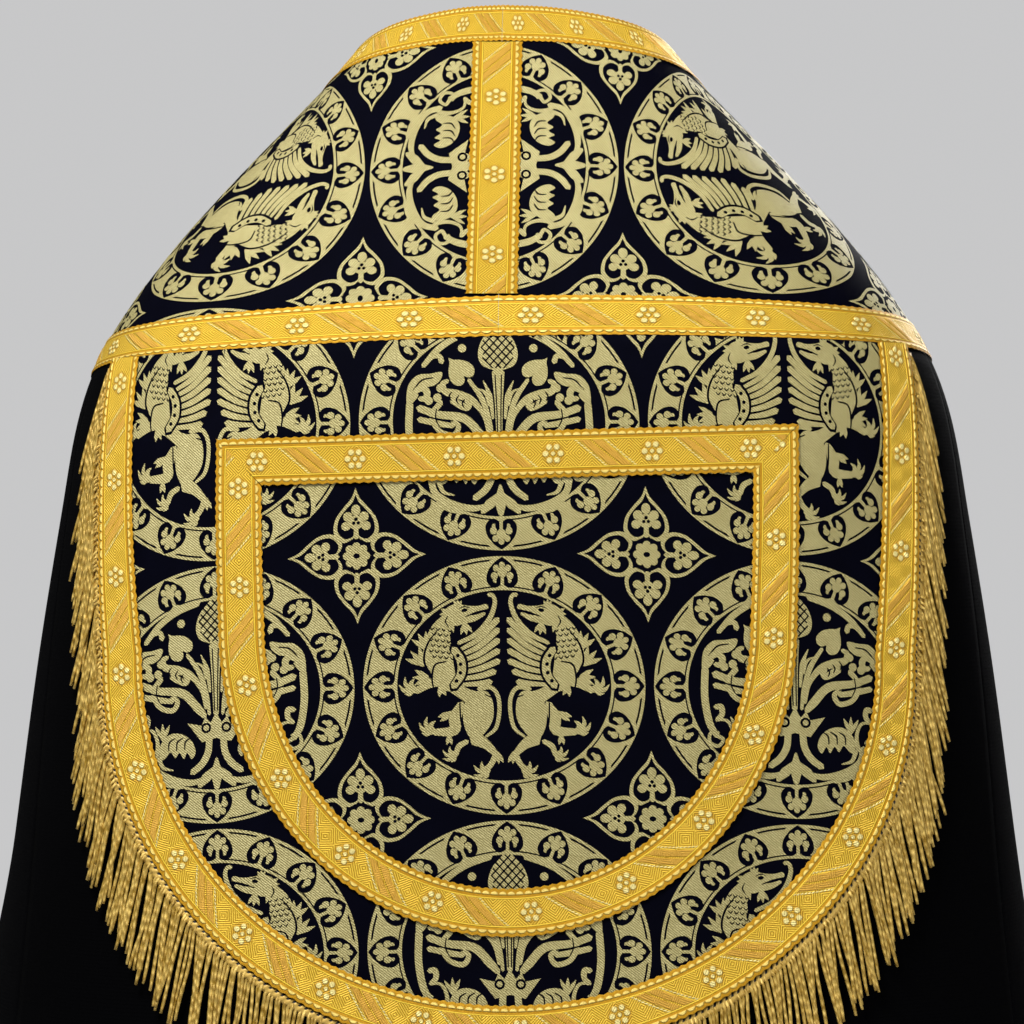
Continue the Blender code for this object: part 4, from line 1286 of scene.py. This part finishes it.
def path_place(path):
    """Follows a line of flat points on the hood, also a little past its ends, and gives its length."""
    lengths = walked(path)
    runs = unit(np.gradient(path, axis=0))

    def flat_place(along, across):
        flat = np.stack([np.interp(along, lengths, path[:, axis]) for axis in (0, 1)], axis=-1)
        run = unit(np.stack([np.interp(along, lengths, runs[:, axis]) for axis in (0, 1)], axis=-1))
        past = (along - np.clip(along, 0.0, lengths[-1]))[..., None]
        away = np.stack((run[..., 1], -run[..., 0]), axis=-1)
        return flat + past * run + np.asarray(across)[..., None] * away, away

    def place(along, across, out):
        flat, _ = flat_place(along, across)
        return on_hood(flat[..., 0], flat[..., 1], HOOD_BRAID_GAP + out)
    return place, flat_place, lengths[-1]


def shield_path(outline, top):
    """A round-bottomed shield on the hood, from its left top corner to its right one."""
    turns = np.linspace(0.0, math.pi, ROUND_POINTS)
    bottom = np.stack((-outline[1] * np.cos(turns), outline[2] - outline[3] * np.sin(turns)), axis=-1)
    sides = []
    for side in (-1, 1):
        corner = float(top(np.array(side * outline[0])))
        height = np.linspace(corner, outline[2], SIDE_POINTS)[:-1]
        sides.append(np.stack((side * side_width(outline, corner, height), height), axis=-1))
    return np.concatenate((sides[0], bottom, sides[1][::-1]))


def narrowed(outline, inward):
    """A shield's outline drawn in all round its sides and bottom."""
    return outline[0] - inward, outline[1] - inward, outline[2], outline[3] - inward


ROUND_POINTS = 200
SIDE_POINTS = 24
BAR_POINTS = 20
HOOD_BRAID_GAP = 0.0012
CENTRE_BRAID_GAP = 0.0015
CENTRE_BRAID_SPREAD = 1.11
SHIELD_OUTLINE = (0.1840, 0.1815, -0.410, 0.194)
SHIELD_TOP = -0.2890
SHIELD_TILT = 0.027
half_braid = BRAID_WIDTH / 2
shield_outline = narrowed(SHIELD_OUTLINE, half_braid)


def bar_height(along):
    """Heights of the middle of the inner shield's upper bar, which tilts a little."""
    return SHIELD_TOP - half_braid + SHIELD_TILT * along


galloons = []
for side, word in SIDES:
    for edge_word, step, inner in (("neck", PLAIN_STEP, 0.0), ("lower", LOWER_STEP, 1.0)):
        def sewn(along, across, out, side=side, inner=inner):
            inward = across + BRAID_WIDTH * (0.5 - inner)
            return on_orphrey(along, inner + inward / width_at(along, side), side, SEAM + out)

        galloons.append(braid("braid_%s_%s" % (edge_word, word), orphrey_lengths[side], sewn,
                              "galloon_%s_%s" % (edge_word, word), step, -side))


join_width = station_widths[1][0]


def down_centre(along, across, out):
    part = (BRAID_WIDTH + CENTRE_BRAID_GAP + along) / join_width
    sideways = blend(*SEAM_OFF_CENTRE, part) + CENTRE_BRAID_SPREAD * across
    return on_back(sideways, SHOULDER_SEAM * part, 2 * SEAM + out)


galloons.append(braid("braid_centre", join_width - 2 * (BRAID_WIDTH + CENTRE_BRAID_GAP), down_centre,
                      "galloon_centre"))

# Braids of the hood, a row for each: name, solid, the line of its middle, whether its ends are mitred
hood_edge = shield_path(narrowed(HOOD_OUTLINE, half_braid), lambda along: hood_top(along) - SEAM)
shield_round = shield_path(shield_outline, bar_height)
bar_line = np.linspace(shield_outline[0], -shield_outline[0], BAR_POINTS)
shield_bar = np.stack((bar_line, bar_height(bar_line)), axis=-1)
for name, node, line, mitred in (("braid_hood", "galloon_hood", hood_edge, False),
                                 ("braid_shield", "galloon_shield", shield_round, True),
                                 ("braid_shield_bar", "galloon_shield", shield_bar, True)):
    sewn, _, length = path_place(line)
    galloons.append(braid(name, length, sewn, node, slant=-1, mitred=mitred))


# The fringe: twisted gold bullion cords, each some 60 mm long, sewn side by side under a narrow stitched
# heading that follows the hood's edge. They hang straight down, so at the sides they lie over each other.
STRANDS = 430
STRAND_RADIUS = 0.00118
STRAND_LENGTH = 0.062
STRAND_RINGS = 18
STRAND_SIDES = 6
STRAND_TAPER = 0.25
STRAND_STEP = 0.004
HEADING_WIDTH = 0.006
HEADING_CLOTH = 0.0012
HEADING_SINK = 0.0002
HEADING_BULGE = 0.0006
HEADING_COLUMNS = 560
HEADING_ROWS = 3
STITCH_PITCH = 0.0042
STITCH_LEAN = 900.0
BEAD_WIDTH = 0.0024
CORD_START = 0.0026
CORD_OUT = 0.0028
CORD_SINK = 0.0012
CORD_OVERLAP = 0.0011
FALL_START = 0.001
TURN_RATE = 12.0
CORD_SWAY = 0.0012
SWAY_RATE = 5.0
FRINGE_START = 0.0048
SIDE_LEAN = 0.24
LOCK_LEAN = 0.07
ARRAY_PITCH = 10.0
TWIST_PITCH = 0.0062
THREAD_TWIST = 5200.0
THREAD_SHIFT = 0.0007

# How far cords differ from one another: place, lean, length as a share, depth
CORD_JITTER = (0.0006, 0.045, 0.06, 0.0003)
random.seed(7)

fringe_line = shield_path(HOOD_OUTLINE, lambda along: hood_top(along) - FRINGE_START)
_, edge_path, edge_length = path_place(fringe_line)
bullion_finish = Finish("bullion")
around, fallen = bullion_finish.cloth_axes()
ply = (around * (2 * math.pi) + fallen * (2 * math.pi / TWIST_PITCH)).maths("SINE")
thread = (around * (20 * math.pi) - fallen * THREAD_TWIST).maths("SINE")
tone = bullion_finish.node("TexNoise", Scale=110.0, Detail=1.0)
tone = tone.maths("MULTIPLY_ADD", 2.2, -0.6, clamp=True)
shade = bullion_finish.mixed(tone, (0.33, 0.19, 0.012), (0.82, 0.58, 0.15))
# Painted shade: each cord darkens toward dark brown in the grooves of its twist, where the bump is lowest.
shade = bullion_finish.mixed((0.5 - 0.5 * ply) * 0.4, shade, (0.22, 0.11, 0.004))
bullion = bullion_finish.close(shade, 0.34 + 0.2 * tone, ply + 0.15 * thread, 0.0004, 0.6, Metallic=0.35,
                               Specular_IOR_Level=0.6)

cord_shape = bmesh.new()
bmesh.ops.create_cone(cord_shape, cap_ends=True, segments=STRAND_SIDES, radius1=1.0, radius2=1.0, depth=1.0)
upright = [line for line in cord_shape.edges if abs(line.verts[0].co.z - line.verts[1].co.z) > 0.5]
bmesh.ops.subdivide_edges(cord_shape, edges=upright, cuts=STRAND_RINGS)
cord_mesh = bpy.data.meshes.new("fringe_cords")
cord_shape.to_mesh(cord_mesh)
cord_shape.free()
cord_piece = bpy.data.objects.new("fringe_cord", cord_mesh)
bpy.context.scene.collection.objects.link(cord_piece)
repeated = cord_piece.modifiers.new("one for each cord", "ARRAY")
repeated.use_relative_offset = False
repeated.use_constant_offset = True
repeated.constant_offset_displace = (ARRAY_PITCH, 0.0, 0.0)
repeated.count = STRANDS
built = cord_piece.evaluated_get(bpy.context.evaluated_depsgraph_get())
strand_mesh = bpy.data.meshes.new_from_object(built)
bpy.data.objects.remove(cord_piece)

flat = np.empty(len(strand_mesh.vertices) * 3)
strand_mesh.vertices.foreach_get("co", flat)
flat = flat.reshape(-1, 3)
number = np.round(flat[:, 0] / ARRAY_PITCH).astype(int)
spin = np.arctan2(flat[:, 1], flat[:, 0] - number * ARRAY_PITCH)
part = 0.5 - flat[:, 2]

jitter = np.array([[random.uniform(-1, 1) for _ in range(6)] for _ in range(STRANDS)])
count = np.arange(STRANDS)
roots = (count + 0.5) / STRANDS * edge_length + CORD_JITTER[0] * jitter[:, 0]
root, away = edge_path(roots, np.zeros(STRANDS))
locks = np.sin(0.9 * count + 2.0 * np.sin(0.17 * count))
leans = SIDE_LEAN * away[:, 0] + CORD_JITTER[1] * jitter[:, 1] + LOCK_LEAN * locks
fall = unit(np.stack((leans, np.full(STRANDS, -1.0)), axis=-1))
reach = STRAND_LENGTH * (1.0 + CORD_JITTER[2] * jitter[:, 2])
depth = CORD_OVERLAP * (1.0 + jitter[:, 3]) * np.abs(away[:, 0]) + CORD_JITTER[3] * jitter[:, 4] - CORD_SINK
start = root + CORD_START * away


def cord_middle(index, share):
    """Flat places down the middle of a cord: a little way out from the hood's edge, then down."""
    fallen = (share * reach[index])[:, None]
    outward = start[index] + np.minimum(fallen, CORD_OUT) * away[index]
    turning = np.clip(share * TURN_RATE, 0.0, 1.0)[:, None]
    down = outward + np.maximum(0.0, fallen - FALL_START) * fall[index] * turning
    sway = CORD_SWAY * jitter[index, 5] * np.sin(share * SWAY_RATE)
    return down + np.stack((sway, np.zeros_like(sway)), axis=-1)


middle = cord_middle(number, part)
heading = unit(cord_middle(number, part + STRAND_STEP) - middle)
beside = np.stack((-heading[:, 1], heading[:, 0]), axis=-1)
tapered = STRAND_RADIUS * (1.0 - STRAND_TAPER * np.clip(part * 6 - 5, 0.0, 1.0))
sideways = (tapered * np.cos(spin))[:, None] * beside
placed = on_hood(middle[:, 0] + sideways[:, 0], middle[:, 1] + sideways[:, 1],
                 depth[number] + tapered * np.sin(spin))
cord_coordinates = np.stack((spin / (2 * math.pi), part * STRAND_LENGTH + number * THREAD_SHIFT), axis=-1)
fringe_cords = laid_mesh("fringe_cords", strand_mesh, placed, cord_coordinates, bullion, turned_out=False)
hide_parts("fringe")


def fringe_heading(u, v):
    out = v * HEADING_WIDTH
    flat, _ = edge_path(u * edge_length, out)
    bulge = HEADING_BULGE * np.sin(math.pi * v)
    return on_hood(flat[:, 0], flat[:, 1], bulge - HEADING_SINK), np.stack((u * edge_length, out), axis=-1)


heading_finish = Finish("fringe_heading")
run, rise = heading_finish.cloth_axes()
stitches = (run * (2 * math.pi / STITCH_PITCH) + rise * STITCH_LEAN).maths("SINE") * 0.5 + 0.5
beads = stitches.below(0.38, 0.2) * rise.below(BEAD_WIDTH, 0.0004)
stitched = heading_finish.mixed(beads, (0.62, 0.40, 0.085), (0.004, 0.003, 0.003))
heading_cloth = heading_finish.close(stitched, 0.5, stitches, 0.0005, 0.7, Metallic=0.25)
heading_piece = sheet_of_cloth("fringe_heading", HEADING_COLUMNS, HEADING_ROWS, fringe_heading,
                               heading_cloth, HEADING_CLOTH)
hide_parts("fringe")


# The cut: the trims that are sewn on each sheet of brocade, gathered in lists.
# The hood and the two orphrey halves carry the braids and the fringe.
for side, word in SIDES:
    trims = [piece for piece in galloons if piece.name.endswith(word)]
    trims + [orphrey_wefts[side]]
trims = [piece for piece in galloons if piece.name.startswith(("braid_hood", "braid_shield"))]
trims + [hood_weft, fringe_cords, heading_piece]
